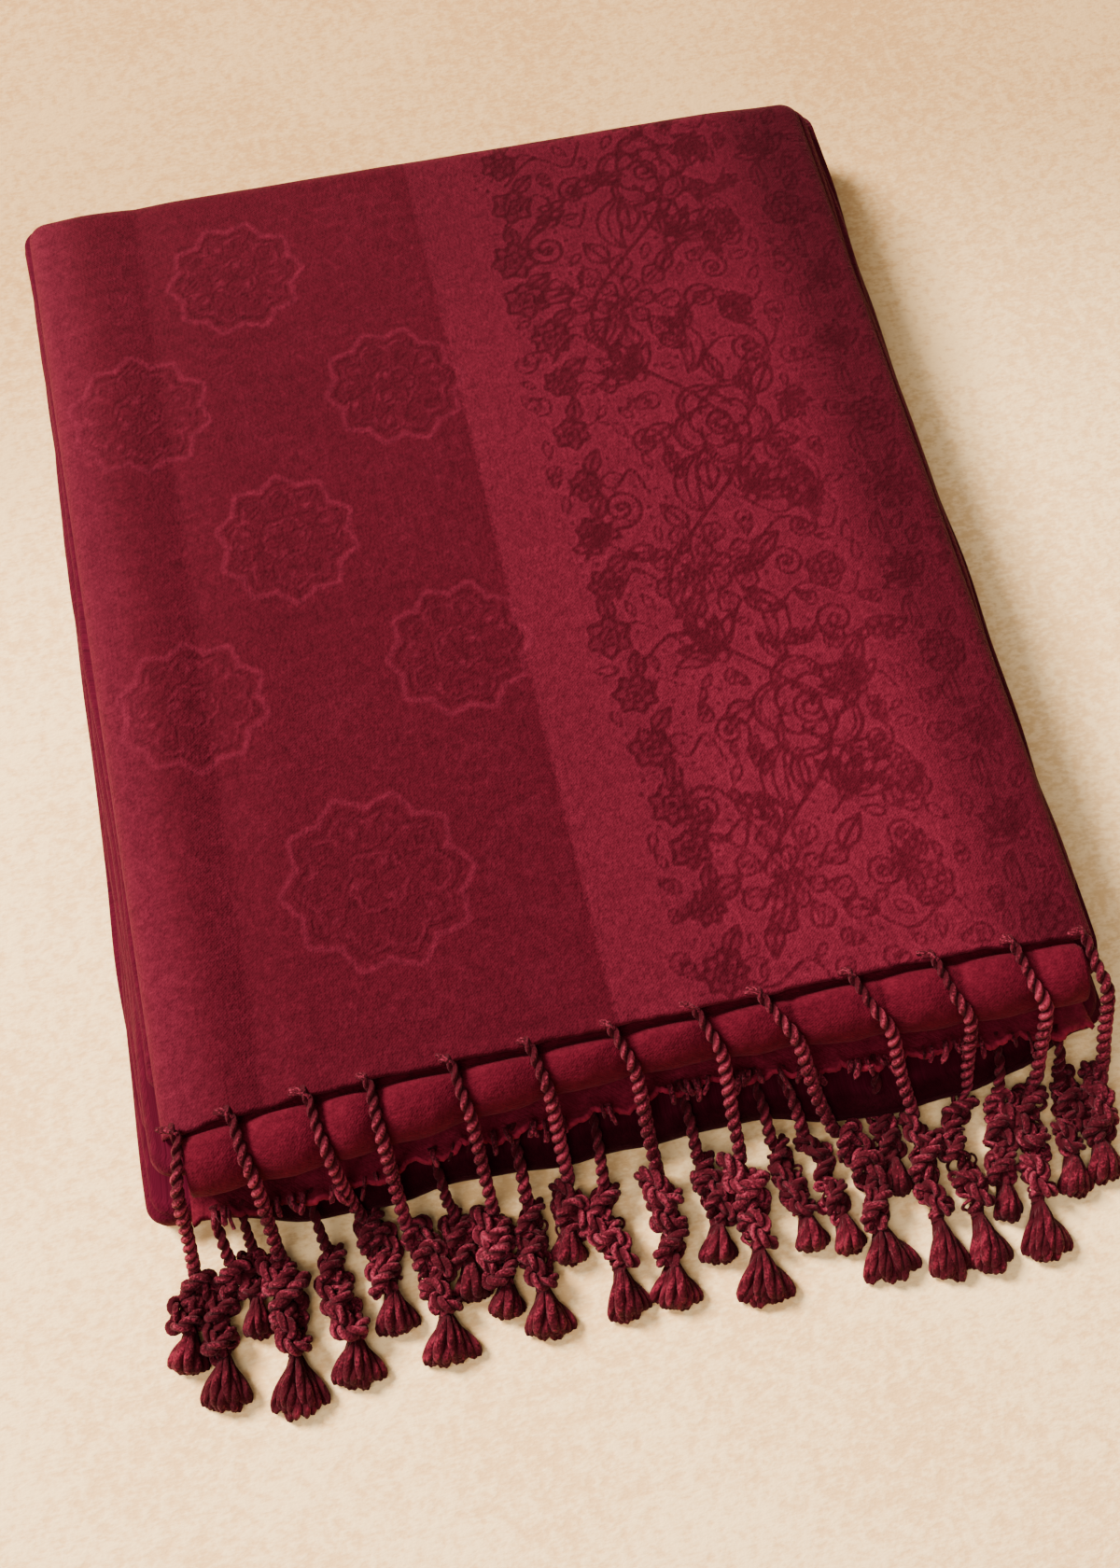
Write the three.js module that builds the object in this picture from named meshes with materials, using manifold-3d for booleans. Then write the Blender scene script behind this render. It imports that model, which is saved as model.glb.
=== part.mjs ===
// A fringed shawl folded into a flat rectangular pile that lies on a surface.
// Millimetres, +Z up. X runs across the pile and Y along it, and the fringed front faces -Y.
// The shapes are worked out round the middle of the top panel, and the group then moves
// the origin to the middle of the whole part's underside.

import * as THREE from 'three';
import { mergeVertices } from 'three/addons/utils/BufferGeometryUtils.js';
import Module from 'manifold-3d';

const wasm = await Module();
wasm.setup();

// The pile
const PANEL_WIDTH = 250;
const PANEL_LENGTH = 300;
const PILE_HEIGHT = 40;
const FOLDED_LAYERS = 6;
const LAYER = PILE_HEIGHT / FOLDED_LAYERS;
const CLOTH = 2;
const SEAM_GAP = 0.3;

// How far the lower layers reach past the middle at the floor, at the front and the back
const LEFT_FOOT = { front: 138, back: 131 };
const RIGHT_FOOT = { front: 132, back: 136 };
const LEDGE = { left: 129, right: 128.5 };
const SIDE_GROOVE = 2.2;
const OUTER_BACK_FOLD = PANEL_LENGTH / 2 + 8;
const OUTER_BACK_DEPTH = 6;
const INNER_BACK_FOLD = PANEL_LENGTH / 2 + 1.5;
const INNER_BACK_DEPTH = 4;

// The top panel, a cloth lid with an open front
const LID = { left: PANEL_WIDTH / 2 + 2.5, right: PANEL_WIDTH / 2 + 1.5, back: INNER_BACK_FOLD };
const LID_ROLL = 6.3;
const FREE_EDGE = -PANEL_LENGTH / 2 + 4.7;
const FREE_EDGE_TIPS = 3.2;
const LID_FLAT = { left: -LID.left + LID_ROLL, right: LID.right - LID_ROLL, back: LID.back - LID_ROLL };
const LID_COLUMNS = 20;
const PANEL_WAVE = 0.3;
const EDGE_DROP = 0.7;

// The pile under the lid stays clear of its lowest place
const CORE_TOP = PILE_HEIGHT - CLOTH - SEAM_GAP - 2 * PANEL_WAVE - EDGE_DROP - 0.1;

// The front folds: the wide round one under the panel, and the low one on the floor
const FOLD_FRONT = -159.8;
const FOLD_BOW = 3.2;
const FOLD_RADIUS = 9.6;
const FOLD_MIDDLE_Z = 26.85;
const FOLD_LEG_BACK = { top: -136, bottom: -144 };
const FOLD_PUFF = 1.0;
const LOW_FOLD_FRONT = -166;

// The shawl's other end, in the notch between the two front folds
const END_BACK = -145;
const END_PAST_FOLD = 2;
const END_UNDERSIDE = 2 * LAYER + SEAM_GAP;
const NOTCH_BACK = -143;

// The fringe
const STRIP_DEPTH = 1.5;
const CORD = 2.2;
const ABOVE_FLOOR = 0.4;
const LOCKS = 4;
const LOCK = 1.35;

function rowsOf(columns, rows) {
  return rows.map((row) => Object.fromEntries(columns.map((name, i) => [name, row[i]])));
}

// Cords of the upper end, left to right. root, band and foot are where each one leaves the
// panel, crosses the round fold and meets the floor. knot, neck and tip are its ends on the floor.
// girth is a knot's half width, and spread is the brush's.
const UPPER_CORDS = rowsOf(
  [
    'rootX', 'bandX', 'footX', 'footY', 'knotX', 'knotY',
    'neckX', 'neckY', 'tipX', 'tipY', 'girth', 'spread',
  ],
  [
    [-123.5, -126, -128, -175, -129, -183, -131, -191, -133.5, -204, 4, 4.5],
    [-109, -106, -105, -177, -104.5, -189, -105.5, -203, -107, -221, 4.6, 7],
    [-89, -86, -81, -172, -79, -181, -78, -192, -78, -206, 4, 5],
    [-73, -72, -70.5, -177, -67.5, -189, -65, -202, -66.5, -217, 4.2, 6.5],
    [-51, -48.5, -47, -178, -47, -187, -47.5, -197, -49.5, -208, 4.2, 4.2],
    [-30, -27, -25.5, -174, -27, -181, -28.5, -188, -30, -198, 3.8, 4.2],
    [-8, -3.5, -1.5, -178, -1.5, -189, -3, -202, -4.5, -216, 4.5, 5.8],
    [15, 20, 21.5, -179, 21, -190, 20.5, -204, 19, -220, 4.4, 7],
    [33, 41, 49.5, -177, 53.5, -191, 54, -205, 54, -222, 4.2, 7],
    [58, 66, 72, -177, 71, -190, 70, -207, 70, -225, 4, 5],
    [81, 87.5, 87, -174, 80.5, -187, 81, -208, 81.5, -226, 4, 5],
    [103, 108.5, 106.5, -176, 103.5, -189, 98.5, -208, 96.5, -226, 4.4, 6.5],
    [122.5, 126, 126, -177, 122.5, -187, 120, -196, 119.5, -209, 4, 5],
  ],
);

// Cords of the lower end, which drop from the notch and lie between the upper ones
const LOWER_CORDS = rowsOf(
  [
    'rootX', 'footX', 'footY', 'knotX', 'knotY', 'neckX',
    'neckY', 'tipX', 'tipY', 'girth', 'spread',
  ],
  [
    [-119, -118, -176, -121, -187, -123.5, -199, -125.5, -215, 3.9, 6.5],
    [-112, -112, -173, -112.5, -179, -113.2, -186, -114, -199, 3, 3],
    [-94, -92.5, -178, -91, -190, -89.5, -202, -91, -217, 4.2, 6],
    [-60, -58.5, -174, -57, -182, -56.5, -190, -56.5, -202, 3.5, 4.2],
    [-38, -38, -178, -38, -189, -38.5, -201, -39.5, -216, 3.9, 6],
    [-16, -17, -178, -18, -189, -17.5, -200, -17.5, -216, 4, 5.2],
    [9, 10, -177, 11, -186, 11.5, -195, 9.5, -207, 3.8, 4.4],
    [29, 31, -177, 33.5, -187, 35, -198, 35.5, -209, 3.6, 4],
    [37, 40.5, -176, 43, -187, 44.5, -200, 45.5, -212, 3.2, 3.6],
    [62, 61.5, -173, 62, -181, 62.5, -188, 62.5, -200, 3.1, 3.2],
    [97, 95.5, -177, 92.5, -189, 90.5, -201, 89.5, -213, 3.7, 3.5],
    [114, 114, -175, 114, -185, 111.5, -198, 109.5, -211, 3.4, 3.8],
  ],
);

// The middle of the whole part's box
const BOX_MIDDLE_X = -1;
const BOX_MIDDLE_Y = -34;

const CRIMSON = new THREE.Color(0x7f1c2c);
const DEEP_RED = new THREE.Color(0x6a1424);

function clothMaterial(color) {
  return new THREE.MeshStandardMaterial({ color, roughness: 0.85, metalness: 0 });
}

function mix(a, b, share) {
  return a + (b - a) * share;
}

function halfRound(q) {
  return Math.sqrt(Math.max(0, 1 - q * q));
}

// Where the free edge runs: nearly straight, with its two tips furthest forward
function freeEdgeY(x) {
  return FREE_EDGE - FREE_EDGE_TIPS * Math.pow(Math.abs(x) / (PANEL_WIDTH / 2), 6);
}

// How far the panel's top lies under the pile's height: soft waves, and a drop to the free edge
function panelSink(x, y) {
  const softWave = PANEL_WAVE * (1 - Math.sin(y / 31 + x / 47));
  return softWave + EDGE_DROP * THREE.MathUtils.smoothstep(-y, 128, 148);
}

function foldFront(x) {
  return FOLD_FRONT + FOLD_BOW * Math.cos((Math.PI * x) / 115);
}

function foldPuff(x) {
  const marks = UPPER_CORDS.map((cord) => cord.bandX);
  const after = marks.findIndex((mark) => mark > x);
  if (after <= 0) {
    return 0;
  }
  const share = (x - marks[after - 1]) / (marks[after] - marks[after - 1]);
  return FOLD_PUFF * Math.sin(Math.PI * share);
}

// A closed solid from rings of equal length. A four-sided end is capped with two triangles,
// and a longer one with a fan.
function solidFromRings(rings) {
  const count = rings[0].length;
  const positions = rings.flat();
  const index = [];
  for (let r = 0; r + 1 < rings.length; r += 1) {
    for (let i = 0; i < count; i += 1) {
      const j = (i + 1) % count;
      const a = r * count + i;
      const b = r * count + j;
      index.push(a, b, b + count, a, b + count, a + count);
    }
  }
  const caps = [[rings[0], 0, true], [rings[rings.length - 1], (rings.length - 1) * count, false]];
  for (const [ring, first, flipped] of caps) {
    if (count === 4) {
      const [a, b, c, d] = [first, first + 1, first + 2, first + 3];
      index.push(...(flipped ? [a, c, b, a, d, c] : [a, b, c, a, c, d]));
      continue;
    }
    const middle = ring.reduce((sum, p) => sum.add(p), new THREE.Vector3()).divideScalar(count);
    positions.push(middle);
    const centre = positions.length - 1;
    for (let i = 0; i < count; i += 1) {
      const a = first + i;
      const b = first + ((i + 1) % count);
      index.push(...(flipped ? [centre, b, a] : [centre, a, b]));
    }
  }
  return geometryFrom(positions, index);
}

// A closed cloth wall between two grids of points, face side out
function wallFromGrids(face, back) {
  const rows = face.length;
  const columns = face[0].length;
  const positions = [...face.flat(), ...back.flat()];
  const half = rows * columns;
  const at = (row, column) => row * columns + column;
  const index = [];
  const quad = (a, b, c, d) => index.push(a, b, c, a, c, d);
  for (let r = 0; r + 1 < rows; r += 1) {
    for (let c = 0; c + 1 < columns; c += 1) {
      const [a, b, d, e] = [at(r, c), at(r, c + 1), at(r + 1, c + 1), at(r + 1, c)];
      quad(a, b, d, e);
      quad(a + half, e + half, d + half, b + half);
    }
  }
  for (let c = 0; c + 1 < columns; c += 1) {
    quad(at(0, c), at(0, c) + half, at(0, c + 1) + half, at(0, c + 1));
    const last = rows - 1;
    quad(at(last, c), at(last, c + 1), at(last, c + 1) + half, at(last, c) + half);
  }
  for (let r = 0; r + 1 < rows; r += 1) {
    quad(at(r, 0), at(r + 1, 0), at(r + 1, 0) + half, at(r, 0) + half);
    const last = columns - 1;
    quad(at(r, last), at(r, last) + half, at(r + 1, last) + half, at(r + 1, last));
  }
  return geometryFrom(positions, index);
}

function geometryFrom(points, index) {
  const geometry = new THREE.BufferGeometry();
  const numbers = points.flatMap((p) => [p.x, p.y, p.z]);
  geometry.setAttribute('position', new THREE.Float32BufferAttribute(numbers, 3));
  geometry.setIndex(index);
  return geometry;
}

function manifoldFrom(geometry) {
  const merged = mergeVertices(geometry, 1e-4);
  const mesh = new wasm.Mesh({
    numProp: 3,
    vertProperties: new Float32Array(merged.attributes.position.array),
    triVerts: new Uint32Array(merged.index.array),
  });
  return new wasm.Manifold(mesh);
}

function joined(geometries) {
  const solids = geometries.map(manifoldFrom);
  const whole = solids.reduce((sum, solid) => sum.add(solid));
  const mesh = whole.getMesh();
  const geometry = new THREE.BufferGeometry();
  geometry.setAttribute('position', new THREE.Float32BufferAttribute(mesh.vertProperties, 3));
  geometry.setIndex(Array.from(mesh.triVerts));
  return geometry;
}

// Outline of one section as shares of its width and length, with rounded corners
function outlineShares() {
  const corner = { x: 0.035, y: 0.03 };
  const sides = { front: 14, right: 7, back: 10, left: 7 };
  const turns = 3;
  const shares = [];
  const arc = (cx, cy, from) => {
    for (let i = 1; i < turns; i += 1) {
      const angle = from + (i / turns) * (Math.PI / 2);
      shares.push([cx + corner.x * Math.cos(angle), cy + corner.y * Math.sin(angle)]);
    }
  };
  const side = (steps, place) => {
    for (let i = 0; i <= steps; i += 1) {
      shares.push(place(i / steps));
    }
  };
  side(sides.front, (k) => [mix(corner.x, 1 - corner.x, k), 0]);
  arc(1 - corner.x, corner.y, -Math.PI / 2);
  side(sides.right, (k) => [1, mix(corner.y, 1 - corner.y, k)]);
  arc(1 - corner.x, 1 - corner.y, 0);
  side(sides.back, (k) => [mix(1 - corner.x, corner.x, k), 1]);
  arc(corner.x, 1 - corner.y, Math.PI / 2);
  side(sides.left, (k) => [0, mix(1 - corner.y, corner.y, k)]);
  arc(corner.x, corner.y, Math.PI);
  return shares;
}

// Each folded layer rounds in at its sides, so a groove runs between it and the next one
function sideInset(z) {
  const place = z / LAYER - Math.floor(z / LAYER);
  return SIDE_GROOVE * (1 - halfRound(2 * place - 1));
}

function underLid(z, reach) {
  const roll = LID_ROLL - CLOTH - SEAM_GAP;
  const start = PILE_HEIGHT - LID_ROLL;
  const over = Math.max(0, z - start) / (CORE_TOP - start + 0.05);
  return reach - CLOTH - SEAM_GAP - roll * (1 - halfRound(over));
}

function leftReach(z, along) {
  if (z > 5 * LAYER) {
    return -underLid(z, LID.left);
  }
  const foot = mix(LEFT_FOOT.front, LEFT_FOOT.back, along);
  const lean = Math.pow(z / (5 * LAYER), 1.6);
  return -(mix(foot, LEDGE.left, lean) - sideInset(z));
}

function rightReach(z, along) {
  if (z > 5 * LAYER) {
    return underLid(z, LID.right);
  }
  const foot = mix(RIGHT_FOOT.front, RIGHT_FOOT.back, along);
  const lean = Math.pow(z / (5 * LAYER), 3);
  return mix(foot, LEDGE.right, lean) - sideInset(z);
}

function backReach(z) {
  if (z > 5 * LAYER) {
    return underLid(z, LID.back);
  }
  if (z > 4 * LAYER) {
    const q = (z - 5 * LAYER) / LAYER;
    return INNER_BACK_FOLD - INNER_BACK_DEPTH * (1 - halfRound(q));
  }
  const q = Math.abs(z / (2 * LAYER) - 1);
  return OUTER_BACK_FOLD - OUTER_BACK_DEPTH * (1 - Math.pow(1 - Math.pow(q, 2.5), 0.4));
}

function frontReach(z, x) {
  const core = FOLD_RADIUS - CLOTH - SEAM_GAP;
  if (z > FOLD_MIDDLE_Z + core) {
    return FOLD_LEG_BACK.top + SEAM_GAP;
  }
  if (z > FOLD_MIDDLE_Z - core) {
    const middle = foldFront(x) + FOLD_RADIUS;
    return middle - core * halfRound((z - FOLD_MIDDLE_Z) / core);
  }
  if (z > 2 * LAYER) {
    return NOTCH_BACK;
  }
  return LOW_FOLD_FRONT + LAYER * (1 - halfRound(z / LAYER - 1));
}

function foldedLayers() {
  const heights = [];
  for (let layer = 0; layer < 5; layer += 1) {
    for (const place of [0.03, 0.18, 0.5, 0.82, 0.97]) {
      heights.push((layer + place) * LAYER);
    }
  }
  const core = FOLD_RADIUS - CLOTH - SEAM_GAP;
  const foldTop = FOLD_MIDDLE_Z + core;
  heights.push(0, FOLD_MIDDLE_Z - core, FOLD_MIDDLE_Z - core + 0.1, 5 * LAYER + 0.02);
  heights.push(foldTop - 0.05, foldTop + 0.05, CORE_TOP - 0.6, CORE_TOP);
  heights.sort((a, b) => a - b);
  const shares = outlineShares();
  const rings = heights.map((z) => shares.map(([across, along]) => {
    const x = mix(leftReach(z, along), rightReach(z, along), across);
    const y = mix(frontReach(z, x), backReach(z), along);
    return new THREE.Vector3(x, y, z);
  }));
  return solidFromRings(rings);
}

// A point on the lid: straight over the flat, then down a quarter round past its side
function lidPoint(acrossArc, alongArc, depth) {
  const flatX = THREE.MathUtils.clamp(acrossArc, LID_FLAT.left, LID_FLAT.right);
  const flatY = Math.min(alongArc, LID_FLAT.back);
  const overX = acrossArc - flatX;
  const overY = alongArc - flatY;
  const over = Math.hypot(overX, overY);
  const limit = (LID_ROLL * Math.PI) / 2;
  const angle = Math.min(over, limit) / LID_ROLL;
  const roll = LID_ROLL - depth;
  const out = over > 0 ? (roll * Math.sin(angle)) / over : 0;
  const rise = roll - panelSink(flatX, flatY);
  const z = PILE_HEIGHT - LID_ROLL + rise * Math.cos(angle);
  return new THREE.Vector3(flatX + overX * out, flatY + overY * out, z);
}

function flatPlaces() {
  const places = [];
  for (let i = 0; i <= LID_COLUMNS; i += 1) {
    places.push(mix(LID_FLAT.left, LID_FLAT.right, i / LID_COLUMNS));
  }
  return places;
}

function topPanel() {
  const limit = (LID_ROLL * Math.PI) / 2;
  const flatRows = 12;
  const rollSteps = [1 / 3, 2 / 3, 1];
  const across = [];
  for (const step of [...rollSteps].reverse()) {
    across.push(LID_FLAT.left - step * limit);
  }
  across.push(...flatPlaces());
  for (const step of rollSteps) {
    across.push(LID_FLAT.right + step * limit);
  }
  const rowPoint = (row, x, depth) => {
    if (row > flatRows) {
      return lidPoint(x, LID_FLAT.back + rollSteps[row - flatRows - 1] * limit, depth);
    }
    const front = freeEdgeY(THREE.MathUtils.clamp(x, LID_FLAT.left, LID_FLAT.right));
    return lidPoint(x, mix(front, LID_FLAT.back, row / flatRows), depth);
  };
  const grid = (depth) => {
    const rows = [];
    for (let row = 0; row <= flatRows + rollSteps.length; row += 1) {
      rows.push(across.map((x) => rowPoint(row, x, depth)));
    }
    return rows;
  };
  return wallFromGrids(grid(0), grid(CLOTH));
}

// Columns for the round fold: each cord's crossing, with two puffed places before the next
function foldColumns() {
  const marks = UPPER_CORDS.map((cord) => cord.bandX);
  const places = marks.slice(0, -1).flatMap((mark, i) => (
    [mark, mix(mark, marks[i + 1], 0.33), mix(mark, marks[i + 1], 0.67)]
  ));
  const inside = places.filter((x) => x > LID_FLAT.left + 1 && x < LID_FLAT.right - 1);
  return [LID_FLAT.left, ...inside, LID_FLAT.right];
}

function frontFold() {
  const turns = 8;
  const profile = (x, depth) => {
    const radius = FOLD_RADIUS + foldPuff(x) - depth;
    const flat = FOLD_RADIUS - depth;
    const middle = foldFront(x) + FOLD_RADIUS;
    const points = [new THREE.Vector3(x, FOLD_LEG_BACK.top, FOLD_MIDDLE_Z + flat)];
    for (let i = 0; i <= turns; i += 1) {
      const angle = (Math.PI * i) / turns;
      const swell = mix(flat, radius, Math.sin(angle));
      const z = FOLD_MIDDLE_Z + flat * Math.cos(angle);
      points.push(new THREE.Vector3(x, middle - swell * Math.sin(angle), z));
    }
    points.push(new THREE.Vector3(x, FOLD_LEG_BACK.bottom, FOLD_MIDDLE_Z - flat));
    return points;
  };
  const columns = foldColumns();
  return wallFromGrids(columns.map((x) => profile(x, 0)), columns.map((x) => profile(x, CLOTH)));
}

// The lower end's raw edge shows just past the round fold
function endFront(x) {
  return foldFront(x) - END_PAST_FOLD + 0.9 * Math.sin(x / 11);
}

function endPlaces() {
  const columns = 26;
  const places = [];
  for (let i = 0; i <= columns; i += 1) {
    places.push(mix(-PANEL_WIDTH / 2, PANEL_WIDTH / 2, i / columns));
  }
  return places;
}

function lowerEnd() {
  const grid = (z) => [0, 0.5, 1].map((share) => (
    endPlaces().map((x) => new THREE.Vector3(x, mix(endFront(x), END_BACK, share), z))
  ));
  return wallFromGrids(grid(END_UNDERSIDE + CLOTH), grid(END_UNDERSIDE));
}

// A four-sided strand along stations that each hold a place, a half width and a half height
function strand(stations) {
  const rings = stations.map((station, i) => {
    const before = stations[Math.max(0, i - 1)].place;
    const after = stations[Math.min(stations.length - 1, i + 1)].place;
    const ahead = new THREE.Vector3().subVectors(after, before).normalize();
    const side = new THREE.Vector3(1, 0, 0).addScaledVector(ahead, -ahead.x).normalize();
    const lift = new THREE.Vector3().crossVectors(ahead, side);
    const corner = (s, l) => station.place.clone()
      .addScaledVector(side, s * station.width)
      .addScaledVector(lift, l * station.height);
    return [corner(-1, -1), corner(1, -1), corner(1, 1), corner(-1, 1)];
  });
  return solidFromRings(rings);
}

function onFloor(x, y, width, height) {
  return { place: new THREE.Vector3(x, y, ABOVE_FLOOR + height), width, height };
}

// The part of a cord on the floor: two knots, then the neck of its brush
function floorStations(cord) {
  const between = (share) => [mix(cord.knotX, cord.neckX, share), mix(cord.knotY, cord.neckY, share)];
  const reach = Math.hypot(cord.neckX - cord.knotX, cord.neckY - cord.knotY);
  const entry = 0.75;
  return [
    onFloor(cord.footX, cord.footY, CORD, CORD),
    onFloor(mix(cord.footX, cord.knotX, entry), mix(cord.footY, cord.knotY, entry), 0.75 * cord.girth, 3),
    onFloor(...between(0.1), cord.girth, 3.9),
    onFloor(...between(0.4), 0.72 * cord.girth, 3.1),
    onFloor(...between(reach > 10 ? 0.72 : 0.68), cord.girth, 3.9),
    onFloor(...between(1), 2.3, 2.3),
  ];
}

// The brush's locks fan out from its neck and end just above the floor
function brushLocks(cord) {
  const locks = [];
  const along = new THREE.Vector2(cord.tipX - cord.neckX, cord.tipY - cord.neckY);
  const reach = along.length();
  along.normalize();
  const across = new THREE.Vector2(-along.y, along.x);
  for (let i = 0; i < LOCKS; i += 1) {
    const turn = (2 * i) / (LOCKS - 1) - 1;
    const place = (share, wide, height) => {
      const forward = reach * share;
      const sideways = turn * wide;
      return onFloor(
        cord.neckX + along.x * forward + across.x * sideways,
        cord.neckY + along.y * forward + across.y * sideways,
        height * 0.9,
        height,
      );
    };
    const outer = cord.spread - LOCK;
    const shorter = 1 - 0.07 * Math.abs(turn);
    locks.push(strand([place(-0.1, 0.9, 1.1), place(shorter, outer, LOCK * 0.85)]));
  }
  return locks;
}

// The hanging part of a cord: square to the strip at its root, then along a smooth curve
function hangingStations(points, steps) {
  const root = points[0].clone().add(new THREE.Vector3(0, STRIP_DEPTH, 0));
  const curve = new THREE.CatmullRomCurve3(points, false, 'centripetal');
  return [root, ...curve.getPoints(steps)].slice(0, -1).map((place, i) => {
    const size = CORD * (i < 2 ? 0.66 : 0.9);
    return { place, width: size, height: size };
  });
}

// A cord that leaves the free edge, arches over the round fold and drops to the floor
function upperCord(cord) {
  const middle = foldFront(cord.bandX) + FOLD_RADIUS;
  const arch = FOLD_RADIUS + CORD + 1.3;
  const over = (degrees, x) => {
    const angle = THREE.MathUtils.degToRad(degrees);
    return new THREE.Vector3(x, middle - arch * Math.sin(angle), FOLD_MIDDLE_Z + arch * Math.cos(angle));
  };
  const rootY = freeEdgeY(cord.rootX) - SEAM_GAP - 1.5 * STRIP_DEPTH;
  const floorZ = ABOVE_FLOOR + CORD;
  const points = [
    new THREE.Vector3(cord.rootX, rootY, PILE_HEIGHT - 1.7),
    over(20, mix(cord.rootX, cord.bandX, 0.4)),
    over(46, mix(cord.rootX, cord.bandX, 0.75)),
    over(72, cord.bandX),
    new THREE.Vector3(mix(cord.bandX, cord.footX, 0.35), mix(middle - arch, cord.footY, 0.42), 17.5),
    new THREE.Vector3(mix(cord.bandX, cord.footX, 0.75), mix(middle - arch, cord.footY, 0.8), 8),
    new THREE.Vector3(cord.footX, cord.footY, floorZ),
  ];
  return strand([...hangingStations(points, 9), ...floorStations(cord)]);
}

// A cord that leaves the lower end in the notch and drops in front of the low fold
function lowerCord(cord) {
  const rootY = endFront(cord.rootX) - SEAM_GAP - 1.5 * STRIP_DEPTH;
  const rootZ = END_UNDERSIDE + CLOTH / 2 + 0.7;
  const points = [
    new THREE.Vector3(cord.rootX, rootY, rootZ),
    new THREE.Vector3(cord.rootX, rootY - 4.6, rootZ - 1.2),
    new THREE.Vector3(mix(cord.rootX, cord.footX, 0.7), mix(rootY, cord.footY, 0.68), 7.4),
    new THREE.Vector3(cord.footX, cord.footY, ABOVE_FLOOR + CORD),
  ];
  return strand([...hangingStations(points, 5), ...floorStations(cord)]);
}

// The narrow strip that the cords grow from, just off the cloth's edge
function strip(places, edgeY, bottom, top) {
  return solidFromRings(places.map((x) => {
    const near = edgeY(x) - SEAM_GAP;
    const far = near - STRIP_DEPTH;
    return [
      new THREE.Vector3(x, near, top(x)),
      new THREE.Vector3(x, far, top(x)),
      new THREE.Vector3(x, far, bottom(x)),
      new THREE.Vector3(x, near, bottom(x)),
    ];
  }));
}

function topFringe() {
  const top = (x) => PILE_HEIGHT - panelSink(x, freeEdgeY(x)) - 0.1;
  const places = [LID_FLAT.left - 3, ...flatPlaces(), LID_FLAT.right + 3];
  const flatEdge = (x) => freeEdgeY(THREE.MathUtils.clamp(x, LID_FLAT.left, LID_FLAT.right));
  const edge = strip(places, flatEdge, (x) => top(x) - CLOTH + 0.2, top);
  return joined([edge, ...UPPER_CORDS.map(upperCord), ...UPPER_CORDS.flatMap(brushLocks)]);
}

function lowerFringe() {
  const edge = strip(endPlaces(), endFront, () => END_UNDERSIDE + 0.1, () => END_UNDERSIDE + CLOTH);
  return joined([edge, ...LOWER_CORDS.map(lowerCord), ...LOWER_CORDS.flatMap(brushLocks)]);
}

function named(name, geometry, color) {
  const mesh = new THREE.Mesh(geometry, clothMaterial(color));
  mesh.name = name;
  return mesh;
}

const shawl = new THREE.Group();
shawl.add(
  named('folded_layers', foldedLayers(), CRIMSON),
  named('top_panel', topPanel(), CRIMSON),
  named('front_fold', frontFold(), CRIMSON),
  named('lower_end', lowerEnd(), CRIMSON),
  named('top_fringe', topFringe(), DEEP_RED),
  named('lower_fringe', lowerFringe(), DEEP_RED),
);
shawl.position.set(-BOX_MIDDLE_X, -BOX_MIDDLE_Y, 0);

export default shawl;
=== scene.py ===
import math
import random

import bpy
import numpy as np
from mathutils import Matrix, Vector
from mathutils.kdtree import KDTree


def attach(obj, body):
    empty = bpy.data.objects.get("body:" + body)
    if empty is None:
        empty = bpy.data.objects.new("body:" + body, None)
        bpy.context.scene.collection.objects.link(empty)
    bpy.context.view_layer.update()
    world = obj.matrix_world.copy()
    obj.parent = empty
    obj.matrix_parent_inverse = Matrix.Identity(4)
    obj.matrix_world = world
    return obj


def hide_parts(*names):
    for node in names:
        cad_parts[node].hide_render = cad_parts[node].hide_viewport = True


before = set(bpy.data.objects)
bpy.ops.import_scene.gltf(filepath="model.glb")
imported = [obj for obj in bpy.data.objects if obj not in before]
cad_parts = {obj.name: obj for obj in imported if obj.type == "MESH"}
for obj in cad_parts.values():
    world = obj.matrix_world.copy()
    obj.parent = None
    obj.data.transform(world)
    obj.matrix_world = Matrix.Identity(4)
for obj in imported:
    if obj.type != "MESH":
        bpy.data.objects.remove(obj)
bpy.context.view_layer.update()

# Sizes in millimetres. Pile places are measured from the middle of the top panel.
MM = 0.001
PILE_SHIFT = np.array([1.0, 34.0, 0.0])

PANEL_WIDTH = 250
PILE_HEIGHT = 40
LAYER = PILE_HEIGHT / 6
CLOTH = 2
SEAM_GAP = 0.3
OUTER_BACK_FOLD = 158
INNER_BACK_FOLD = 151.5
LID_LEFT = -127.5
LID_RIGHT = 126.5
LID_BACK = 151.5
LID_ROLL = 6.3
LEFT_SIDE = {
    "foot_front": 138, "foot_back": 131, "ledge": 129, "lid": -LID_LEFT, "lean": 1.6, "seed": 1,
}
RIGHT_SIDE = {
    "foot_front": 132, "foot_back": 136, "ledge": 128.5, "lid": LID_RIGHT, "lean": 3, "seed": 2,
}
FLAT_LEFT = LID_LEFT + LID_ROLL
FLAT_RIGHT = LID_RIGHT - LID_ROLL
FLAT_BACK = LID_BACK - LID_ROLL
FREE_EDGE = -145.3
FREE_EDGE_TIPS = 3.2
PANEL_WAVE = 0.3
EDGE_DROP = 0.7
CREASE_DEPTH = 0.25
LEFT_DIP = 1.4
LEFT_SLOPE = 2.1
RIGHT_SLOPE = 2.7
STRIPE_SUNK = 0.15
BUMP_HEIGHT = {"large": 0.30, "small": 0.10}
CORE_TOP = 36.3
FOLD_FRONT = -159.8
FOLD_BOW = 3.2
FOLD_RADIUS = 9.6
FOLD_CORE = 3.9
FOLD_MIDDLE_Z = 26.85
FOLD_LEG_BACK = {"top": -136, "bottom": -144}
FOLD_PUFF = 2.7
FOLD_PLEAT = 0.45
BAND_DROP = 3.3
LOW_FOLD_FRONT = -166
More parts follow.
